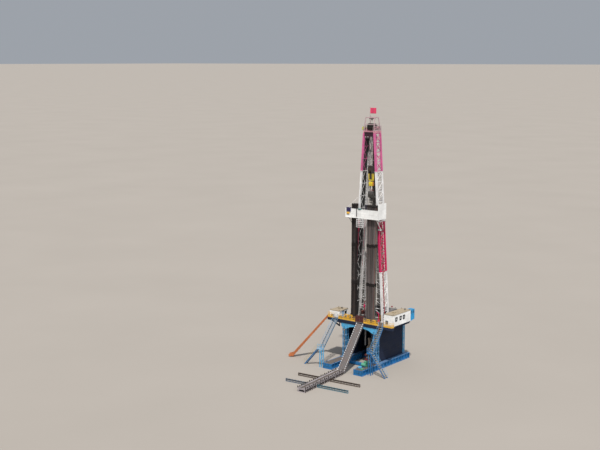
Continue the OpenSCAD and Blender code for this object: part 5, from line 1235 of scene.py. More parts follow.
# ------------------------------------------------------------ drill floor
def floor_details():
    m = Mesh()
    Y, B = 0, 1
    F = FLOOR + 0.002

    def run(pts):
        for a, b in zip(pts, pts[1:]):
            a, b = Vector(a), Vector(b)
            rail_run(m, [a, b], 0.545, 0.40, Y, None, 0.012, False)
            m.bar(a + V(0, 0, 0.085), b + V(0, 0, 0.085), 0.012, 0.17, Y, (0, 0, 1))
            m.bar(a + V(0, 0, 0.29), b + V(0, 0, 0.29), 0.022, 0.05, Y, (0, 0, 1))
    y = -1.67
    for x0, x1 in ((-4.555, -3.64), (-3.04, -0.62), (0.62, 2.77), (3.43, 4.555)):
        run([(x0, y, F), (x1, y, F)])
    for s in (-1, 1):
        run([(s * 4.57, -1.65, F), (s * 4.57, -1.26, F)])
    run([(-3.12, 4.67, F), (3.12, 4.67, F)])
    m.make("floor_railing_tubes", "rig", ["rail_yellow", "bolt_steel"], ["floor_railings"])

    m = Mesh()
    D, G, S, YY, R = range(5)
    # rotary table cover: bushing, slips, drive links
    m.lathe((0, 0.52, FLOOR + 0.116 - 0.11), (0, 0, 1), [(0.425, 0.0), (0.425, 0.085), (0.405, 0.10), (0.30, 0.104), (0.295, 0.10), (0.255, 0.10), (0.252, 0.02), (0.30, 0.0)], 48, D)
    for j in range(12):
        t = 2 * math.pi * j / 12
        m.bolt((0.36 * math.cos(t), 0.52 + 0.36 * math.sin(t), FLOOR + 0.10), (0, 0, 1), 0.016, 0.016, S)
    # tread plates round the table, in frames
    for i, (x0, x1, y0, y1) in enumerate(((-1.95, -0.70, -0.20, 0.60), (0.70, 1.95, -0.20, 0.60), (-1.95, -0.70, 0.66, 1.50), (0.70, 1.95, 0.66, 1.50), (-0.66, 0.66, 1.02, 1.90))):
        m.box((x0, y0, FLOOR), (x1, y1, FLOOR + 0.008), G)
        n = int((x1 - x0) / 0.09)
        for a in range(n):
            for b in range(int((y1 - y0) / 0.09)):
                px, py = x0 + 0.05 + 0.09 * a, y0 + 0.05 + 0.09 * b
                e = 0.018 if (a + b) % 2 else -0.018
                m.bar((px - e, py - 0.018, FLOOR + 0.010), (px + e, py + 0.018, FLOOR + 0.010), 0.007, 0.006, G, (0, 0, 1))
    # iron roughneck at the side of the table, on its track
    m.box((-1.36, 0.36, FLOOR + 0.01), (-0.62, 0.42, FLOOR + 0.05), D)
    m.box((-1.36, 0.62, FLOOR + 0.01), (-0.62, 0.68, FLOOR + 0.05), D)
    m.box((-1.42, 0.34, FLOOR + 0.05), (-1.02, 0.70, FLOOR + 0.16), S, 0.02)
    for yy in (0.40, 0.64):
        m.bar((-1.34, yy, FLOOR + 0.14), (-1.34, yy, FLOOR + 1.05), 0.07, 0.07, S, (0, 1, 0))
    m.box((-1.40, 0.36, FLOOR + 0.98), (-1.26, 0.68, FLOOR + 1.08), S, 0.015)
    for zz, hh in ((0.52, 0.13), (0.72, 0.16)):
        m.lathe((-0.98, 0.52, FLOOR + zz), (0, 0, 1), [(0.10, 0), (0.19, 0.01), (0.19, hh - 0.01), (0.10, hh)], 24, R)
        m.box((-1.32, 0.44, FLOOR + zz + 0.02), (-1.05, 0.60, FLOOR + zz + hh - 0.02), R, 0.015)
        for s in (-1, 1):
            m.tube((-1.28, 0.52 + s * 0.12, FLOOR + zz + hh / 2), (-1.02, 0.52 + s * 0.17, FLOOR + zz + hh / 2), 0.02, 10, S)
    # driller's console, tool bins and mud bucket
    m.box((1.55, 1.70, FLOOR), (1.95, 2.25, FLOOR + 0.42), G, 0.015)
    m.box((1.50, 1.66, FLOOR + 0.42), (1.98, 2.29, FLOOR + 0.50), S, 0.015)
    for j in range(5):
        m.tube((1.58 + 0.08 * j, 1.74, FLOOR + 0.50), (1.58 + 0.08 * j, 1.72, FLOOR + 0.58), 0.008, 6, R)
    m.lathe((1.30, 0.90, FLOOR), (0, 0, 1), [(0.13, 0), (0.15, 0.02), (0.15, 0.55), (0.14, 0.56), (0.12, 0.56), (0.12, 0.1)], 24, YY)
    for j in range(3):
        m.box((-2.9 + 0.42 * j, 1.2, FLOOR), (-2.56 + 0.42 * j, 1.55, FLOOR + 0.28), YY if j == 1 else G, 0.012)
        m.box((-2.91 + 0.42 * j, 1.19, FLOOR + 0.28), (-2.55 + 0.42 * j, 1.56, FLOOR + 0.31), D, 0.006)
    # yellow winch and post that stand behind the front rail at the left
    for x0 in (-2.34, -1.72):
        m.box((x0, -1.50, FLOOR), (x0 + 0.48, -1.14, FLOOR + 0.06), D, 0.01)
        for xx in (x0 + 0.03, x0 + 0.45):
            m.plate([(xx, -1.48, FLOOR + 0.05), (xx, -1.16, FLOOR + 0.05), (xx, -1.22, FLOOR + 0.56), (xx, -1.42, FLOOR + 0.56)], (1, 0, 0), 0.025, YY)
        m.lathe((x0 + 0.05, -1.32, FLOOR + 0.34), (1, 0, 0), [(0.17, 0), (0.17, 0.015), (0.10, 0.02), (0.10, 0.36), (0.17, 0.365), (0.17, 0.38)], 24, YY)
        m.lathe((x0 + 0.09, -1.32, FLOOR + 0.34), (1, 0, 0), [(0.102, 0), (0.125, 0.005), (0.125, 0.29), (0.102, 0.295)], 20, D)
        m.box((x0 + 0.02, -1.44, FLOOR + 0.56), (x0 + 0.46, -1.20, FLOOR + 0.60), YY, 0.01)
    # boxes, drums and hose reels along the front rail
    rnd = random.Random(21)
    for i, (x0, w, h, k) in enumerate(((-3.02, 0.30, 0.34, G), (-1.10, 0.34, 0.42, R), (-0.72, 0.12, 0.60, R), (0.66, 0.26, 0.36, R), (1.00, 0.30, 0.46, YY), (1.42, 0.22, 0.30, D),
                                       (1.74, 0.34, 0.52, YY), (2.30, 0.30, 0.34, D))):
        m.box((x0, -1.60, FLOOR), (x0 + w, -1.60 + 0.9 * w, FLOOR + h), k, 0.015)
        m.box((x0 - 0.006, -1.606, FLOOR + h - 0.05), (x0 + w + 0.006, -1.594 + 0.9 * w, FLOOR + h - 0.02), D if k != D else S, 0.004)
        for j in range(3):
            m.box((x0 + w * (0.15 + 0.25 * j), -1.608, FLOOR + 0.22), (x0 + w * (0.30 + 0.25 * j), -1.599, FLOOR + h - 0.07), D if k != D else R)
    # red and white post of the air winch by the right leg
    m.bar((2.02, -0.62, FLOOR), (2.02, -0.62, FLOOR + 1.20), 0.075, 0.075, 6, (0, 1, 0))
    m.bar((2.02, -0.62, FLOOR + 1.16), (1.80, -0.70, FLOOR + 1.30), 0.05, 0.06, 6)
    m.box((1.92, -0.72, FLOOR), (2.12, -0.52, FLOOR + 0.40), 6, 0.02)
    # crimson hanging winch and tongs left of the well
    m.lathe((-0.42, -0.02, FLOOR + 1.42), (0, 0, 1), [(0.04, 0), (0.11, 0.03), (0.12, 0.28), (0.06, 0.33), (0.02, 0.42)], 18, 6)
    m.tube((-0.42, -0.02, FLOOR + 1.80), (-0.46, 0.0, 17.5), 0.006, 6, D)
    # grey power unit on the left of the floor, with its tank and coolers
    m.box((-3.12, 0.85, FLOOR), (-2.42, 2.20, FLOOR + 0.10), D, 0.01)
    m.box((-3.08, 0.92, FLOOR + 0.10), (-2.48, 1.62, FLOOR + 0.78), 7, 0.02)
    m.lathe((-2.80, 1.72, FLOOR + 0.42), (0, 1, 0), [(0.20, 0), (0.24, 0.03), (0.24, 0.36), (0.20, 0.40)], 24, 7)
    for j in range(7):
        m.box((-2.478, 0.96 + 0.09 * j, FLOOR + 0.18), (-2.466, 1.02 + 0.09 * j, FLOOR + 0.70), D)
        m.box((-3.02 + 0.08 * j, 0.906, FLOOR + 0.18), (-2.98 + 0.08 * j, 0.918, FLOOR + 0.70), D)
    # mud standpipe manifold at the right leg
    for j in range(3):
        m.tube((2.40, 0.50 + 0.16 * j, FLOOR + 0.02), (2.40, 0.50 + 0.16 * j, FLOOR + 0.62), 0.035, 14, 5)
        m.lathe((2.40, 0.50 + 0.16 * j, FLOOR + 0.28), (1, 0, 0), [(0.05, -0.05), (0.06, -0.04), (0.06, 0.04), (0.05, 0.05)], 16, D)
        m.tube((2.46, 0.50 + 0.16 * j, FLOOR + 0.28), (2.52, 0.50 + 0.16 * j, FLOOR + 0.28), 0.055, 14, R)
    m.tube((2.40, 0.42, FLOOR + 0.60), (2.40, 0.90, FLOOR + 0.60), 0.04, 14, 5)
    m.make("floor_equipment", "rig", ["machine_grey", "deck_steel", "bolt_steel", "rail_yellow", "gate_maroon", "pipe_red", "mast_red", "unit_blue"])

    # setback mats: boards
    m = Mesh()
    for x0, x1 in ((-1.86, -1.06), (0.26, 1.56)):
        n = int(round((x1 - x0) / 0.1))
        for i in range(n):
            x = lerp(x0, x1, i / n)
            m.box((x + 0.004, -1.078, FLOOR + 0.0505), (x + 0.096, -0.252, FLOOR + 0.0545), 0, 0.001)
        for yy in (-1.08, -0.25):
            m.box((x0 - 0.012, yy - 0.012, FLOOR), (x1 + 0.012, yy + 0.012, FLOOR + 0.056), 1)
    m.make("setback_boards", "rig", ["timber", "deck_steel"])

    # gates: mesh bars, hinge straps and a drop bolt, on the leaves
    for s, body in ((-1, "gate_left"), (1, "gate_right")):
        m = Mesh()
        yg = -1.57
        a, b = min(s * 0.05, s * 0.445), max(s * 0.05, s * 0.445)
        for k in range(2):
            zz = 5.365 + 0.325 * k
            for i in range(9):
                x = lerp(a + 0.012, b - 0.012, i / 8)
                m.box((x - 0.005, yg - 0.0165, zz), (x + 0.005, yg - 0.0085, zz + 0.275), 1)
            m.bar((a, yg - 0.0135, zz), (b, yg - 0.0135, zz + 0.27), 0.008, 0.02, 1, (0, 0, 1))
        for zz in (5.45, 5.91):
            m.box((min(s * 0.30, s * 0.483), yg - 0.024, zz - 0.02), (max(s * 0.30, s * 0.483), yg - 0.0185, zz + 0.02), 0)
            for i in range(3):
                m.bolt((s * (0.33 + 0.06 * i), yg - 0.023, zz), (0, -1, 0), 0.008, 0.006, 2)
        m.tube((s * 0.035, yg - 0.026, 5.40), (s * 0.035, yg - 0.026, 5.70), 0.007, 8, 2)
        m.box((s * 0.035 - 0.012, yg - 0.030, 5.52), (s * 0.035 + 0.012, yg - 0.0185, 5.55), 0)
        m.make("gate_detail_%s" % ("left" if s < 0 else "right"), body, ["gate_maroon", "dark_gap", "bolt_steel"])


floor_details()


def drawworks():
    m = Mesh()
    G, D, S, R, W = range(5)
    yc, zc = 3.32, 5.771
    # rope wound on the drum, brake discs and calipers
    prof = [(0.232, -1.02)]
    for i in range(52):
        t = -1.0 + 2.0 * i / 52
        prof += [(0.240, t + 0.004), (0.253, t + 0.019), (0.240, t + 0.034)]
    prof.append((0.232, 1.02))
    m.lathe((0, yc, zc), (1, 0, 0), prof, 30, W)
    for s in (-1, 1):
        # housing doors, louvres drawn as near-black strips of painted shade, bolts and lifting eyes
        x = s * 1.652
        m.box((x - 0.012, 2.95, 5.45), (x + 0.012, 3.68, 6.05), G, 0.006)
        for j in range(9):
            m.box((x + s * 0.010, 3.02, 5.52 + 0.05 * j), (x + s * 0.022, 3.34, 5.545 + 0.05 * j), D)
        for yy in (2.98, 3.65):
            for zz in (5.48, 5.76, 6.02):
                m.bolt((x + s * 0.012, yy, zz), (s, 0, 0), 0.012, 0.012, S)
        for yy in (2.75, 3.9):
            m.lathe((s * 1.35, yy, 6.16), (0, 1, 0), [(0.02, -0.012), (0.05, -0.012), (0.05, 0.012), (0.02, 0.012)], 16, S)
    # motor cooling ribs behind
    for x in (-0.75, 0.75):
        for j in range(10):
            m.box((x - 0.36, 3.90, 5.40 + 0.06 * j), (x + 0.36, 4.165, 5.412 + 0.06 * j), D)
        m.tube((x, 4.10, 6.10), (x, 4.10, 6.24), 0.10, 20, R)
    m.pipe([(-1.3, 2.52, 5.35), (-0.5, 2.50, 5.32), (0.4, 2.49, 5.32), (1.3, 2.52, 5.35)], 0.03, 10, D)
    m.make("drawworks_detail", "rig", ["machine_grey", "dark_gap", "bolt_steel", "pipe_red", "wire"])


drawworks()


# ----------------------------------------------------------------- cabins
def cabins():
    m = Mesh()
    W, G, D, R, B, S = range(6)
    for side, x0, x1, y0, y1, z0, z1 in ((1, 3.20, 4.45, -1.22, 2.38, 5.311, 6.61), (-1, -4.58, -3.202, -1.22, 0.50, 4.921, 6.00)):
        xo = x1 if side > 0 else x0
        wins = [(-0.79, -0.45), (0.11, 0.45), (0.80, 1.14)] if side > 0 else [(-0.80, -0.38), (-0.14, 0.28)]
        zw0, zw1 = (z0 + 0.56, z0 + 0.96) if side > 0 else (z0 + 0.48, z0 + 0.85)
        # corrugated outer wall: ribs beside the windows, and on both ends
        n = int((y1 - y0) / 0.14)
        for i in range(1, n):
            y = y0 + (y1 - y0) * i / n
            hit = any(a - 0.05 < y < b + 0.05 for a, b in wins)
            for za, zb in (((z0 + 0.05, zw0 - 0.05), (zw1 + 0.05, z1 - 0.05)) if hit else ((z0 + 0.05, z1 - 0.05),)):
                m.box((xo, y - 0.026, za), (xo + side * 0.014, y + 0.026, zb), W, 0.006)
        for ye, q in ((y0, -1), (y1, 1)):
            n = int((x1 - x0) / 0.14)
            for i in range(1, n):
                x = x0 + (x1 - x0) * i / n
                m.box((x - 0.026, ye, z0 + 0.05), (x + 0.026, ye + q * 0.014, z1 - 0.05), W, 0.006)
            for x in (x0, x1):
                m.box((x - 0.03, ye - 0.02 * q - 0.012, z0), (x + 0.03, ye + q * 0.016, z1), W, 0.004)
        # window frames, glazing bars and slanted hoods; the hoods are near-black as painted shadow above the windows
        for a, b in wins:
            xf = xo + side * 0.008
            for p, q in (((a - 0.03, zw0 - 0.03), (b + 0.03, zw0)), ((a - 0.03, zw1), (b + 0.03, zw1 + 0.03)), ((a - 0.03, zw0), (a, zw1)), ((b, zw0), (b + 0.03, zw1))):
                m.box((xf - 0.016, p[0], p[1]), (xf + 0.016, q[0], q[1]), D)
            m.box((xf - 0.010, (a + b) / 2 - 0.008, zw0), (xf + 0.006, (a + b) / 2 + 0.008, zw1), D)
            m.plate([(xo + side * 0.004, a - 0.04, zw1 + 0.07), (xo + side * 0.004, b + 0.04, zw1 + 0.07), (xo + side * 0.10, b + 0.04, zw1 - 0.05), (xo + side * 0.10, a - 0.04, zw1 - 0.05)],
                    (side * 0.8, 0, 0.6), 0.010, D)
            # pale blind behind the glass line, down over the middle of the pane
            if side > 0:
                m.box((xo + 0.001, a + 0.085, zw0 + 0.13), (xo + 0.006, b - 0.02, zw1 - 0.09), W)
        # roof: raised seams, patches, edge flashing, lifting eyes, vent
        zr = z1 + 0.051
        n = int((y1 - y0) / 0.55)
        for i in range(n + 1):
            y = y0 + (y1 - y0) * i / n
            m.box((x0 - 0.02, y - 0.015, zr), (x1 + 0.02, y + 0.015, zr + 0.016), R)
        for x in (x0, x1):
            for y in (y0 + 0.06, y1 - 0.06):
                m.lathe((x + (0.06 if x == x0 else -0.06), y, zr + 0.05), (0, 1, 0), [(0.02, -0.012), (0.045, -0.012), (0.045, 0.012), (0.02, 0.012)], 14, S)
        m.box((x0 + 0.35, y0 + 1.0, zr), (x0 + 0.75, y0 + 1.4, zr + 0.13), R, 0.02)
        # vent slots as near-black strips: painted shade
        for j in range(4):
            m.box((x0 + 0.34, y0 + 1.04 + 0.09 * j, zr + 0.03), (x0 + 0.35, y0 + 1.10 + 0.09 * j, zr + 0.10), D)
        m.lathe(((x0 + x1) / 2 + 0.2, y1 - 0.5, zr), (0, 0, 1), [(0.06, 0), (0.06, 0.12), (0.11, 0.13), (0.11, 0.17), (0.03, 0.20)], 18, S)
        # inner wall: door leaf details, handle, hinges, lamps
        xi = x0 if side > 0 else x1
        yd0, yd1 = y0 + 0.50, y0 + 0.94
        for zz in (0.25, 0.55, 0.85):
            m.tube((xi - side * 0.018, yd0 + 0.012, z0 + zz - 0.04), (xi - side * 0.018, yd0 + 0.012, z0 + zz + 0.04), 0.010, 8, S)
        m.tube((xi - side * 0.035, yd1 - 0.06, z0 + 0.46), (xi - side * 0.035, yd1 - 0.06, z0 + 0.58), 0.009, 8, S)
        for zz in (0.46, 0.58):
            m.tube((xi - side * 0.005, yd1 - 0.06, z0 + zz), (xi - side * 0.038, yd1 - 0.06, z0 + zz), 0.007, 8, S)
        m.box((xi - side * 0.06, yd0 - 0.04, z0 + 1.02), (xi, yd1 + 0.04, z0 + 1.035), D)
        for y in (y0 + 0.25, y1 - 0.4):
            m.box((xi - side * 0.07, y - 0.09, z1 - 0.16), (xi, y + 0.09, z1 - 0.09), G, 0.012)
            m.box((xi - side * 0.066, y - 0.08, z1 - 0.172), (xi - side * 0.01, y + 0.08, z1 - 0.161), 6, 0.003)
        # front end: service panel and cable glands
        m.box((x0 + 0.20, y0 - 0.05, z0 + 0.25), (x0 + 0.55, y0, z0 + 0.62), G, 0.012)
        for j in range(3):
            m.tube((x0 + 0.27 + 0.1 * j, y0 - 0.025, z0 + 0.25), (x0 + 0.27 + 0.1 * j, y0 - 0.025, z0 + 0.12), 0.013, 8, D)
    # doors, louvres and handles of the blue cabinet
    for j in range(2):
        ya = 2.42 + 0.45 * j
        m.box((4.436, ya, 5.52), (4.450, ya + 0.41, 6.54), B, 0.006)
        # louvre slots as near-black strips: painted shade
        for k in range(7):
            m.box((4.448, ya + 0.06, 6.16 + 0.045 * k), (4.456, ya + 0.35, 6.18 + 0.045 * k), D)
        m.box((4.448, ya + 0.34, 5.92), (4.466, ya + 0.37, 6.04), S)
        xa = 3.885 + 0.28 * j
        m.box((xa, 3.318, 5.52), (xa + 0.26, 3.334, 6.54), B, 0.006)
    m.box((3.85, 2.40, 6.600), (4.452, 3.34, 6.618), B, 0.004)
    m.make("cabin_details", "rig", ["cabin_white", "machine_grey", "dark_gap", "cabin_roof", "cabinet_blue", "bolt_steel", "lamp_glass"])


cabins()


# ----------------------------------------------------------- substructure
def substructure():
    m = Mesh()
    B, D, S, G, C = range(5)
    for s in (-1, 1):
        xc = s * 2.18
        # flange splices, pad eyes and end frames of the long base boxes
        for side in (-1, 1):
            x = xc + side * 0.625
            for i in range(32):
                y = -4.82 + 9.64 * i / 31
                m.plate([(x - side * 0.19, y, 0.052), (x - side * 0.02, y, 0.052), (x - side * 0.19, y, 0.20)], (0, 1, 0), 0.012, B)
                m.plate([(x - side * 0.19, y, 0.598), (x - side * 0.02, y, 0.598), (x - side * 0.19, y, 0.45)], (0, 1, 0), 0.012, B)
            for y in (-4.3, -1.6, 1.6, 4.3):
                m.lathe((x - side * 0.06, y, 0.70), (1, 0, 0), [(0.025, -0.02), (0.065, -0.02), (0.065, 0.02), (0.025, 0.02)], 18, B)
                m.box((x - side * 0.06 - 0.02, y - 0.065, 0.651), (x - side * 0.06 + 0.02, y + 0.065, 0.70), B)
            for y in (-3.0, 0.0, 3.0):
                m.box((x - side * 0.17 - 0.012, y - 0.20, 0.12), (x - side * 0.17 + 0.012, y + 0.20, 0.53), B, 0.004)
                for dy in (-0.15, 0, 0.15):
                    for zz in (0.18, 0.33, 0.47):
                        m.bolt((x - side * 0.17 + side * 0.012, y + dy, zz), (side, 0, 0), 0.014, 0.012, S)
        for y, q in ((-5.0, -1), (5.0, 1)):
            for j in range(4):
                xx = xc - 0.50 + 1.0 * j / 3
                m.box((xx - 0.025, y - q * 0.03, 0.05), (xx + 0.025, y - q * 0.002, 0.60), B)
            m.bar((xc - 0.5, y - q * 0.015, 0.08), (xc - 0.17, y - q * 0.015, 0.57), 0.02, 0.05, B, (0, 1, 0))
            m.bar((xc + 0.17, y - q * 0.015, 0.57), (xc + 0.5, y - q * 0.015, 0.08), 0.02, 0.05, B, (0, 1, 0))
            m.bar((xc - 0.56, y - q * 0.016, 0.33), (xc + 0.56, y - q * 0.016, 0.33), 0.03, 0.05, B, (0, 1, 0))
        # checker deck strip with dirt edges on top
        m.box((xc - 0.50, -4.92, 0.6505), (xc + 0.50, -1.70, 0.657), 5)
        for i in range(9):
            m.box((xc - 0.50, -4.86 + 0.38 * i, 0.657), (xc + 0.50, -4.85 + 0.38 * i, 0.661), B)
    # green pump unit, its tank and red valves on the front of the right base
    m.box((1.76, -3.26, 0.66), (2.26, -2.72, 1.22), 6, 0.02)
    m.lathe((1.74, -3.56, 0.94), (1, 0, 0), [(0.17, 0), (0.20, 0.02), (0.20, 0.50), (0.17, 0.52)], 20, 6)
    m.box((1.80, -3.68, 0.66), (2.20, -3.44, 0.78), 0, 0.01)
    m.box((1.74, -4.30, 0.66), (2.04, -3.96, 0.88), 4, 0.02)
    m.box((2.30, -4.66, 0.66), (2.58, -4.40, 0.80), 6, 0.02)
    for j in range(3):
        m.tube((1.86 + 0.15 * j, -3.00, 1.22), (1.86 + 0.15 * j, -3.00, 1.40), 0.03, 12, 3)
        m.tube((1.86 + 0.15 * j, -3.00, 1.40), (1.86 + 0.15 * j, -3.00, 1.43), 0.075, 14, 7)
    m.pipe([(2.24, -2.90, 1.0), (2.42, -2.90, 1.02), (2.48, -2.86, 0.9), (2.48, -2.82, 0.655)], 0.03, 10, 3)
    m.pipe([(1.80, -2.74, 1.1), (1.76, -2.62, 1.0), (1.78, -2.46, 0.75), (1.80, -2.36, 0.655)], 0.025, 10, 7)
    m.make("base_details", "rig", ["base_blue", "dark_gap", "bolt_steel", "machine_grey", "structure_cyan", "deck_steel", "box_green", "pipe_red"])

    m = Mesh()
    for s in (-1, 1):
        for (x, y, w, bar, n) in ((s * 2.18, -1.33, 0.43, 0.10, 6), (s * 2.18, 4.34, 0.30, 0.08, 6)):
            z0, z1 = 0.651, 4.809
            h = (z1 - z0) / n
            # shoe and cap plates, gussets at the joints, bolts
            m.box((x - w / 2 - 0.10, y - w / 2 - 0.10, z0), (x + w / 2 + 0.10, y + w / 2 + 0.10, z0 + 0.025), 0, 0.004)
            for i, j in ((-1, -1), (1, -1), (1, 1), (-1, 1)):
                m.bolt((x + i * (w / 2 + 0.075), y + j * (w / 2 + 0.075), z0 + 0.025), (0, 0, 1), 0.018, 0.03, 1)
            for k in range(n + 1):
                z = min(max(z0 + k * h, z0 + 0.12), z1 - 0.12)
                for q in (-1, 1):
                    yy = y + q * (w / 2 + bar / 2 + 0.005)
                    for t in (-1, 1):
                        xx = x + t * w / 2
                        m.plate([(xx + bar / 2 * t, yy, z - 0.09), (xx + bar / 2 * t, yy, z + 0.09), (xx - t * 0.13, yy, z + 0.045), (xx - t * 0.13, yy, z - 0.045)], (0, 1, 0), 0.010, 2)
                        for dz in (-0.04, 0.04):
                            m.bolt((xx - t * 0.01, yy + q * 0.004, z + dz), (0, q, 0), 0.009, 0.01, 1)
                    xx = x + q * (w / 2 + bar / 2 + 0.005)
                    for t in (-1, 1):
                        yy2 = y + t * w / 2
                        m.plate([(xx, yy2 + bar / 2 * t, z - 0.09), (xx, yy2 + bar / 2 * t, z + 0.09), (xx, yy2 - t * 0.13, z + 0.045), (xx, yy2 - t * 0.13, z - 0.045)], (1, 0, 0), 0.010, 2)
            # cables and small pipes up the column
            for d in (0.04, 0.075, 0.12):
                m.tube((x + s * 0.03 + d, y - w / 2 - 0.02, z0 + 0.03), (x + s * 0.03 + d, y - w / 2 - 0.02, z1 - 0.1), 0.011, 6, 3)
            # light-blue marks: short welded cleats in the lighter column blue
            for k in range(2 * n):
                z = z0 + 0.22 + k * h / 2
                m.box((x - w / 2 - bar / 2 - 0.012, y - w / 2 - 0.03, z), (x - w / 2 - bar / 2, y - w / 2 + 0.03, z + 0.05), 2)
    # haunch stiffeners and pins
    for s in (-1, 1):
        for x, dz in ((0.75, 0.22), (1.15, 0.28), (1.60, 0.42), (2.00, 0.58), (2.30, 0.56)):
            m.box((s * x - 0.012, -1.72, 4.805 - dz), (s * x + 0.012, -1.698, 4.80), 4)
        m.tube((s * 2.08, -1.74, 4.42), (s * 2.08, -1.60, 4.42), 0.075, 24, 4)
        m.tube((s * 2.08, -1.755, 4.42), (s * 2.08, -1.74, 4.42), 0.045, 16, 1)
        m.box((min(s * 0.57, s * 2.55), -1.725, 4.775), (max(s * 0.57, s * 2.55), -1.698, 4.80), 4)
        for j in range(12):
            m.bolt((s * (0.65 + 0.17 * j), -1.698, 4.74), (0, -1, 0), 0.011, 0.014, 1)
    m.make("column_details", "rig", ["structure_blue", "bolt_steel", "column_light", "hose_black", "structure_cyan"])

    m = Mesh()
    # cladding: vertical ribs and cover strips, in near-black navy that is partly painted shade of the floor's shadow
    for s in (-1, 1):
        x = s * 2.325
        for i in range(26):
            y = -0.95 + 4.97 * i / 25
            m.box((x - 0.004, y - 0.02, 0.68), (x + s * 0.018, y + 0.02, 4.78), 0, 0.004)
        for z in (1.7, 2.75, 3.8):
            m.box((x - 0.004, -0.97, z - 0.03), (x + s * 0.026, 4.04, z + 0.03), 0)
    for i in range(22):
        x = -1.90 + 3.8 * i / 21
        m.box((x - 0.02, 4.588, 0.68), (x + 0.02, 4.606, 4.78), 0, 0.004)
    for z in (1.7, 2.75, 3.8):
        m.box((-1.94, 4.588, z - 0.03), (1.94, 4.612, z + 0.03), 0)
    # pipe runs and cable tray under the floor edge, at both sides
    for s in (-1, 1):
        for j, zz in enumerate((4.60, 4.52, 4.44)):
            m.tube((s * 2.39, -0.9, zz), (s * 2.39, 3.9, zz), 0.022, 10, 1)
        for i in range(7):
            y = -0.8 + 0.75 * i
            m.box((s * 2.325, y - 0.02, 4.40), (s * 2.43, y + 0.02, 4.66), 0)
    # ribs of the floor frame's front beam
    for i in range(30):
        x = -3.15 + 6.3 * i / 29
        if abs(x) > 0.65:
            m.box((x - 0.008, -1.712, 4.83), (x + 0.008, -1.70, 5.19), 0)
    # cellar equipment well back in the shade: annular preventer stack with its clamps
    m.lathe((0, 0.52, 0.10), (0, 0, 1), [(0.30, 0), (0.30, 0.10), (0.16, 0.12), (0.16, 0.30), (0.34, 0.32), (0.34, 0.62), (0.18, 0.64), (0.18, 0.76), (0.34, 0.78), (0.34, 1.10),
                                         (0.18, 1.12), (0.18, 1.22), (0.30, 1.24), (0.36, 1.40), (0.36, 1.70), (0.28, 1.86), (0.17, 1.90), (0.17, 2.6), (0.22, 2.62), (0.22, 2.8)], 30, 4)
    for zz in (0.47, 0.94):
        for q in (-1, 1):
            m.tube((0, 0.52 + q * 0.30, zz + 0.08), (0, 0.52 + q * 0.78, zz + 0.08), 0.11, 20, 2)
            m.tube((0, 0.52 + q * 0.78, zz + 0.08), (0, 0.52 + q * 0.84, zz + 0.08), 0.13, 20, 3)
    m.make("cladding_ribs", "rig", ["structure_navy", "rail_steel", "machine_grey", "gate_maroon", "stack_beige"])


substructure()


# ----------------------------------------------------------------- stairs
def frame_pts(p, a):
    ca, sa = math.cos(math.radians(a)), math.sin(math.radians(a))
    return lambda x, y, z: V(p[0] + x * ca - y * sa, p[1] + x * sa + y * ca, p[2] + z)


def stair(name, node, p, a, run, drop, w, n, slots):
    """Channel stringers, grating treads with nosings, tube handrails. slots: stringer, tread, rail."""
    m = Mesh()
    at = frame_pts(p, a)
    k_s, k_t, k_r = 0, 1, 2
    ux, uz = run, -drop
    for s in (-1, 1):
        yy = s * w / 2
        e = 0.011 * s
        # stringer as an open channel with a vertical foot
        lo = [(0, 0.0), (run, -drop), (run - 0.15, -drop), (0, -0.17)]
        m.plate([at(x, yy, z) for x, z in lo], at(0, 1, 0) - at(0, 0, 0), 0.010, k_s)
        m.bar(at(0.0, yy - e, -0.008), at(run - 0.01, yy - e, -drop - 0.0 + 0.001), 0.04, 0.012, k_s, (0, 0, 1))
        m.bar(at(0.0, yy - e, -0.165), at(run - 0.16, yy - e, -drop + 0.006), 0.04, 0.012, k_s, (0, 0, 1))
        kk = max(2, round(run / 0.56))
        for i in range(kk + 1):
            x = 0.014 + (run - 0.028) * i / kk
            z = -drop * x / run
            m.tube(at(x, yy, z - 0.03 + (0.03 if i == kk else 0)), at(x, yy, z + 0.525), 0.011, 8, k_r)
        for h, r in ((0.525, 0.013), (0.28, 0.008)):
            m.tube(at(0.0, yy, h), at(run, yy, h - drop), r, 8, k_r)
    for i in range(1, n):
        x = run * i / n
        z = -drop * i / n
        m.bar(at(x + 0.058, -w / 2 + 0.014, z + 0.002), at(x + 0.058, w / 2 - 0.014, z + 0.002), 0.010, 0.034, k_t, (0, 0, 1))
        m.bar(at(x - 0.066, -w / 2 + 0.014, z + 0.002), at(x - 0.066, w / 2 - 0.014, z + 0.002), 0.010, 0.034, k_t, (0, 0, 1))
        for j in range(5):
            xx = x - 0.046 + 0.022 * j
            m.bar(at(xx, -w / 2 + 0.012, z + 0.008), at(xx, w / 2 - 0.012, z + 0.008), 0.006, 0.014, k_t, (0, 0, 1))
        for s in (-1, 1):
            m.bar(at(x - 0.066, s * (w / 2 - 0.012), z), at(x + 0.060, s * (w / 2 - 0.012), z), 0.006, 0.030, k_t, (0, 0, 1))
    m.make(name, "rig", slots, [node])


stair("right_stair_upper_detail", "right_stair_upper", (3.10, -1.704, 5.242), -90, 1.846, 2.672, 0.57, 14, ["stair_blue", "tread_tan", "stair_mid"])
stair("right_stair_lower_detail", "right_stair_lower", (3.404, -3.84, 2.542), 0, 1.976, 2.542, 0.50, 13, ["stair_blue", "tread_tan", "stair_mid"])
stair("left_stair_upper_detail", "left_stair_upper", (-3.34, -1.704, 5.242), -90, 2.786, 3.022, 0.50, 15, ["stair_slate", "tread_pale", "stair_mid"])
stair("left_stair_lower_detail", "left_stair_lower", (-3.644, -4.76, 2.192), 180, 1.95, 2.192, 0.46, 12, ["structure_blue", "tread_tan", "rail_tan"])


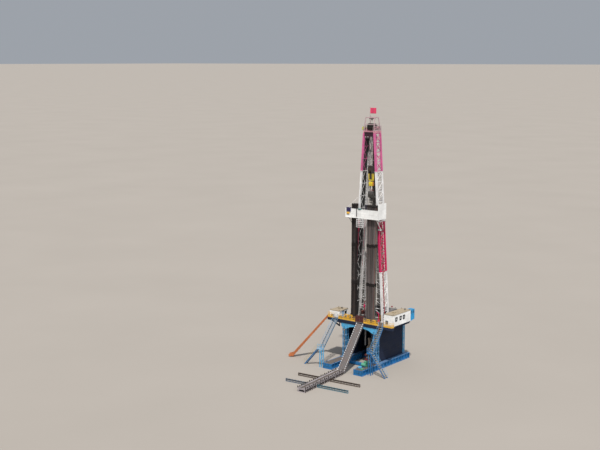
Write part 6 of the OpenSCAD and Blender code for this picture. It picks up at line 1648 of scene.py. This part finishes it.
def landings():
    m = Mesh()
    for (x0, x1, y0, y1, z, k, kg) in ((2.80, 3.40, -4.12, -3.56, 2.55, 0, 1), (-3.64, -2.98, -5.02, -4.50, 2.20, 2, 3)):
        m.grating(x0 + 0.02, x1 - 0.02, y0 + 0.02, y1 - 0.02, z + 0.016, 0.05, 0.006, 0.014, kg)
        for a, b in (((x0, y0), (x1, y0)), ((x0, y0), (x0, y1))) if x0 > 0 else (((x0, y0), (x1, y0)), ((x1, y0), (x1, y1))):
            m.bar((a[0], a[1], z + 0.05), (b[0], b[1], z + 0.05), 0.010, 0.10, k, (0, 0, 1))
        # gussets under the deck, feet on plates
        cols = ((2.965, 3.315) if x0 > 0 else (-3.28, -3.02))
        ys = (-3.62 - 0.0, -4.02) if x0 > 0 else (-4.56, -4.96)
        for x in cols:
            for y in ys:
                m.box((x - 0.07, y - 0.07, 0.0), (x + 0.07, y + 0.07, 0.014), k)
                for i, j in ((-1, -1), (1, 1), (1, -1), (-1, 1)):
                    m.bolt((x + 0.05 * i, y + 0.05 * j, 0.014), (0, 0, 1), 0.009, 0.014, 4)
                m.plate([(x, y - 0.11, z - 0.062), (x, y + 0.11, z - 0.062), (x, y + 0.03, z - 0.16), (x, y - 0.03, z - 0.16)], (1, 0, 0), 0.010, k)
    m.make("landing_details", "rig", ["structure_blue", "tread_tan", "stair_pale", "structure_cyan", "bolt_steel"])


landings()


# ----------------------------------------------- ramp, catwalk and racks
def ramp_details():
    m = Mesh()
    a, b = V(0.15, -1.704, 5.18), V(0.15, -5.48, 0.26)
    d = b - a
    u = d.normalized()
    n = V(0, -u.z, u.y)
    if n.z < 0:
        n = -n
    for s in (-1, 1):
        x = s * 0.445
        o = V(x, 0, 0)
        # pale notched edge rails
        k = 23
        for i in range(k):
            p = a + d * ((i + 0.15) / k) + o + n * 0.03
            q = a + d * ((i + 0.66) / k) + o + n * 0.03
            m.bar(p + n * 0.012, q + n * 0.012, 0.075, 0.036, 1, n)
        m.bar(a + o + n * 0.016 + V(s * 0.047, 0, 0), b + o + n * 0.016 + V(s * 0.047, 0, 0), 0.008, 0.05, 0, n)
    # wear plates and cross bars of the sliding deck
    for i in range(18):
        p = a + d * ((i + 0.5) / 18) + V(0, 0, -0.078)
        m.bar(p + V(-0.40, 0, 0), p + V(0.40, 0, 0), 0.05, 0.014, 0, n)
    for x in (-0.24, 0.0, 0.24):
        m.bar(a + V(x, 0, -0.070), b + V(x, 0, -0.070), 0.05, 0.012, 2, n)
    # side web stiffeners
    for i in range(14):
        t = (i + 0.5) / 14
        p = a + d * t
        for s in (-1, 1):
            m.box((0.15 + s * 0.476, p.y - 0.012, p.z - 0.27), (0.15 + s * 0.492, p.y + 0.012, p.z - 0.02), 0)
    # landing block at the foot
    m.box((-0.28, -5.50, 0.03), (0.58, -5.36, 0.09), 2, 0.01)
    m.make("ramp_details", "rig", ["ramp_grey", "ramp_pale", "deck_steel"])


ramp_details()


def yard():
    c, s = math.cos(math.radians(5)), math.sin(math.radians(5))

    def Y(x, y, z):
        dx, dy = x - 0.18, y + 5.74
        return V(0.18 + dx * c - dy * s, -5.74 + dx * s + dy * c, z)

    def boxy(m, a, b, k=0):
        vs = [Y(x, y, z) for z in (a[2], b[2]) for y in (a[1], b[1]) for x in (a[0], b[0])]
        m.convex(vs, [(0, 1, 3, 2), (4, 5, 7, 6), (0, 1, 5, 4), (2, 3, 7, 6), (0, 2, 6, 4), (1, 3, 7, 5)], k)

    m = Mesh()
    x0, x1, y0, y1, h = 0.18 - 0.5, 0.18 + 0.5, -13.74, -5.74, 0.48
    rnd = random.Random(4)
    # planks across, laid with small gaps; trough down the middle
    n = 64
    for i in range(n):
        ya = y0 + 0.02 + (y1 - y0 - 0.04) * i / n
        yb = ya + (y1 - y0) / n * rnd.uniform(0.84, 0.93)
        for xa, xb in ((x0 + 0.05, 0.18 - 0.13), (0.18 + 0.13, x1 - 0.05)):
            boxy(m, (xa, ya, h + 0.0005), (xb, yb, h + 0.010 + rnd.uniform(0, 0.004)), rnd.choice((0, 0, 1)))
    for s2 in (-1, 1):
        boxy(m, (0.18 + s2 * 0.125 - 0.010, y0 + 0.02, h + 0.0004), (0.18 + s2 * 0.125 + 0.010, y1 - 0.02, h + 0.028), 2)
    boxy(m, (0.18 - 0.115, y0 + 0.03, h + 0.0003), (0.18 + 0.115, y1 - 0.03, h + 0.004), 3)
    # edge angle with stop posts
    for s2 in (-1, 1):
        x = 0.18 + s2 * 0.485
        boxy(m, (x - 0.012, y0, h - 0.02), (x + 0.012, y1, h + 0.03), 2)
        for i in range(21):
            y = y0 + 0.06 + (y1 - y0 - 0.12) * i / 20
            boxy(m, (x - 0.032, y - 0.055, h), (x + 0.032, y + 0.055, h + (0.19 if i % 2 == 0 else 0.12)), 2)
    # web stiffeners along both outer sides
    for i in range(24):
        y = y0 + 0.12 + (y1 - y0 - 0.24) * i / 23
        for s2 in (-1, 1):
            x = 0.18 + s2 * 0.485
            boxy(m, (x - 0.009, y - 0.085, 0.0), (x + 0.009, y + 0.085, h - 0.02), 2)
    m.make("catwalk_details", "rig", ["timber_grey", "timber_mauve", "rack_dark", "deck_steel"])

    # trestles: flanged beams on little A frames, studs along the top
    m = Mesh()
    for yr, left, right in ((-8.70, 0, 0), (-11.25, 1, 2)):
        for xa, xb, k in ((-3.50, -0.36, left), (0.72, 4.60, right)):
            boxy(m, (xa, yr - 0.06, 0.300), (xb, yr + 0.06, 0.314), k)
            boxy(m, (xa, yr - 0.06, 0.190), (xb, yr + 0.06, 0.202), k)
            boxy(m, (xa + 0.002, yr - 0.012, 0.20), (xb - 0.002, yr + 0.012, 0.304), 3)
            boxy(m, (xa, yr - 0.09, 0.0), (xb, yr + 0.09, 0.018), k)
            nn = int(round((xb - xa) / 0.21))
            for i in range(nn + 1):
                x = xa + 0.03 + (xb - xa - 0.06) * i / nn
                boxy(m, (x - 0.030, yr - 0.045, 0.312), (x + 0.030, yr + 0.045, 0.340), k if i % 2 else 3)
                for q in (-1, 1):
                    m.convex([Y(x - 0.012, yr + q * 0.085, 0.015), Y(x + 0.012, yr + q * 0.085, 0.015), Y(x - 0.012, yr + q * 0.065, 0.015), Y(x + 0.012, yr + q * 0.065, 0.015),
                              Y(x - 0.012, yr + q * 0.045, 0.20), Y(x + 0.012, yr + q * 0.045, 0.20), Y(x - 0.012, yr + q * 0.025, 0.20), Y(x + 0.012, yr + q * 0.025, 0.20)],
                             [(0, 1, 3, 2), (4, 5, 7, 6), (0, 1, 5, 4), (2, 3, 7, 6), (0, 2, 6, 4), (1, 3, 7, 5)], k)
                if i < nn and i % 2 == 0:
                    x2 = xa + 0.03 + (xb - xa - 0.06) * (i + 1) / nn
                    m.bar(Y(x, yr, 0.03), Y(x2, yr, 0.19), 0.02, 0.03, k, (0, 1, 0))
            for x in (xa + 0.01, xb - 0.01):
                boxy(m, (x - 0.01, yr - 0.07, 0.0), (x + 0.01, yr + 0.07, 0.335), k)
    m.make("pipe_rack_trestles", "rig", ["rack_brown", "rack_grey", "rack_teal", "dark_gap"], ["pipe_racks"])


yard()


def slide_details():
    m = Mesh()
    at = frame_pts((-4.78, -1.465, 0.0), 27)
    a, b = (0.0, 5.13), (-4.12, 0.24)
    dx, dz = b[0] - a[0], b[1] - a[1]
    for s in (-1, 1):
        # rolled rims and outside ribs
        m.tube(at(0.0, s * 0.26, a[1] + 0.232), at(b[0] - 0.06, s * 0.26, b[1] + 0.272), 0.022, 10, 1)
        m.tube(at(b[0] - 0.06, s * 0.26, b[1] + 0.272), at(-4.72, s * 0.26, 0.332), 0.022, 10, 1)
        for i in range(26):
            t = (i + 0.5) / 26
            x, z = a[0] + dx * t, a[1] + dz * t
            m.bar(at(x, s * 0.282, z - 0.03), at(x, s * 0.282, z + 0.21), 0.014, 0.03, 0, (0, 1, 0))
    for i in range(14):
        t = (i + 0.5) / 14
        x, z = a[0] + dx * t, a[1] + dz * t
        m.bar(at(x, -0.27, z - 0.062), at(x, 0.27, z - 0.062), 0.04, 0.03, 0, (0, 0, 1))
        m.bar(at(x, -0.24, z + 0.004), at(x, 0.24, z + 0.004), 0.008, 0.006, 2, (0, 0, 1))
    for k in range(3):
        m.bar(at(-4.2 - 0.18 * k, -0.24, 0.158), at(-4.2 - 0.18 * k, 0.24, 0.158), 0.03, 0.012, 2, (0, 0, 1))
    m.make("slide_details", "rig", ["slide_orange", "slide_rim", "slide_worn"])


slide_details()


def standpipe_details():
    m = Mesh()
    for i in range(8):
        z = 5.75 + 0.72 * i
        x = half_at(z)
        m.lathe((x + 0.175, 0.25, z - 0.02), (0, 0, 1), [(0.052, 0), (0.066, 0.002), (0.066, 0.038), (0.052, 0.04)], 20, 0)
        m.bar((x + 0.09, 0.10, z), (x + 0.175, 0.20, z), 0.03, 0.03, 1)
    for z in (7.6, 9.6):
        x = half_at(z) + 0.175
        for dz in (-0.035, 0.012):
            m.lathe((x, 0.25, z + dz), (0, 0, 1), [(0.05, 0), (0.085, 0.0), (0.085, 0.022), (0.05, 0.022)], 24, 0)
    # red service pipe and its valve inside the mast, left of the well
    m.tube((-1.02, 0.86, FLOOR), (-1.02, 0.86, FLOOR + 1.9), 0.035, 14, 0)
    m.lathe((-1.02, 0.86, FLOOR + 0.9), (0, 0, 1), [(0.05, 0), (0.075, 0.02), (0.075, 0.14), (0.05, 0.16)], 20, 0)
    m.tube((-1.02, 0.86, FLOOR + 1.88), (-0.80, 1.08, FLOOR + 2.0), 0.033, 14, 0)
    m.make("standpipe_details", "rig", ["pipe_red", "mast_white"])


standpipe_details()


def guide_rail_details():
    m = Mesh()
    for i in range(29):
        z = 6.45 + 0.72 * i
        for s in (-1, 1):
            m.box((s * 0.20 - 0.055, 1.166, z - 0.03), (s * 0.20 + 0.055, 1.182, z + 0.03), 0)
            m.bolt((s * 0.20, 1.10, z), (0, -1, 0), 0.010, 0.006, 1)
        if i % 3 == 0:
            m.bar((-0.24, 1.175, z), (0.24, 1.175, z), 0.03, 0.06, 0, (0, 0, 1))
            for s in (-1, 1):
                m.bar((s * 0.24, 1.175, z), (s * (half_at(z) - 0.08), 1.19, z), 0.03, 0.045, 2, (0, 0, 1))
    m.make("guide_rail_brackets", "rig", ["rail_steel", "bolt_steel", "mast_white"])


guide_rail_details()


# ------------------------------------------------------------ studio, light
def studio():
    s = 8000
    me = bpy.data.meshes.new("floor")
    me.from_pydata([(-s, -s, 0), (s, -s, 0), (s, s, 0), (-s, s, 0)], [], [(0, 1, 2, 3)])
    floor = bpy.data.objects.new("floor", me)
    bpy.context.scene.collection.objects.link(floor)
    floor.location = (0, 0, -0.002)
    g = Graph("studio_floor")
    n = g.noise(0.05, 3, 0.5)
    me.materials.append(g.done(g.mix(n, (0.36, 0.325, 0.29), (0.40, 0.362, 0.325)), 0.9, 0.0))
    w = bpy.data.worlds.new("studio")
    bpy.context.scene.world = w
    w.use_nodes = True
    bg = w.node_tree.nodes["Background"]
    bg.inputs[0].default_value = (0.80, 0.86, 0.95, 1)
    bg.inputs[1].default_value = 0.42
    bpy.context.scene.view_settings.view_transform = "Standard"
    for name, rot, power, angle, colour in (
        ("key", (math.radians(33), 0, math.radians(38)), 3.6, 3, (1.0, 0.965, 0.91)),
        ("fill", (math.radians(62), 0, math.radians(60)), 0.7, 30, (0.90, 0.95, 1.0)),
    ):
        li = bpy.data.lights.new(name, "SUN")
        li.energy = power
        li.angle = math.radians(angle)
        li.color = colour
        ob = bpy.data.objects.new(name, li)
        bpy.context.scene.collection.objects.link(ob)
        ob.rotation_euler = rot


studio()
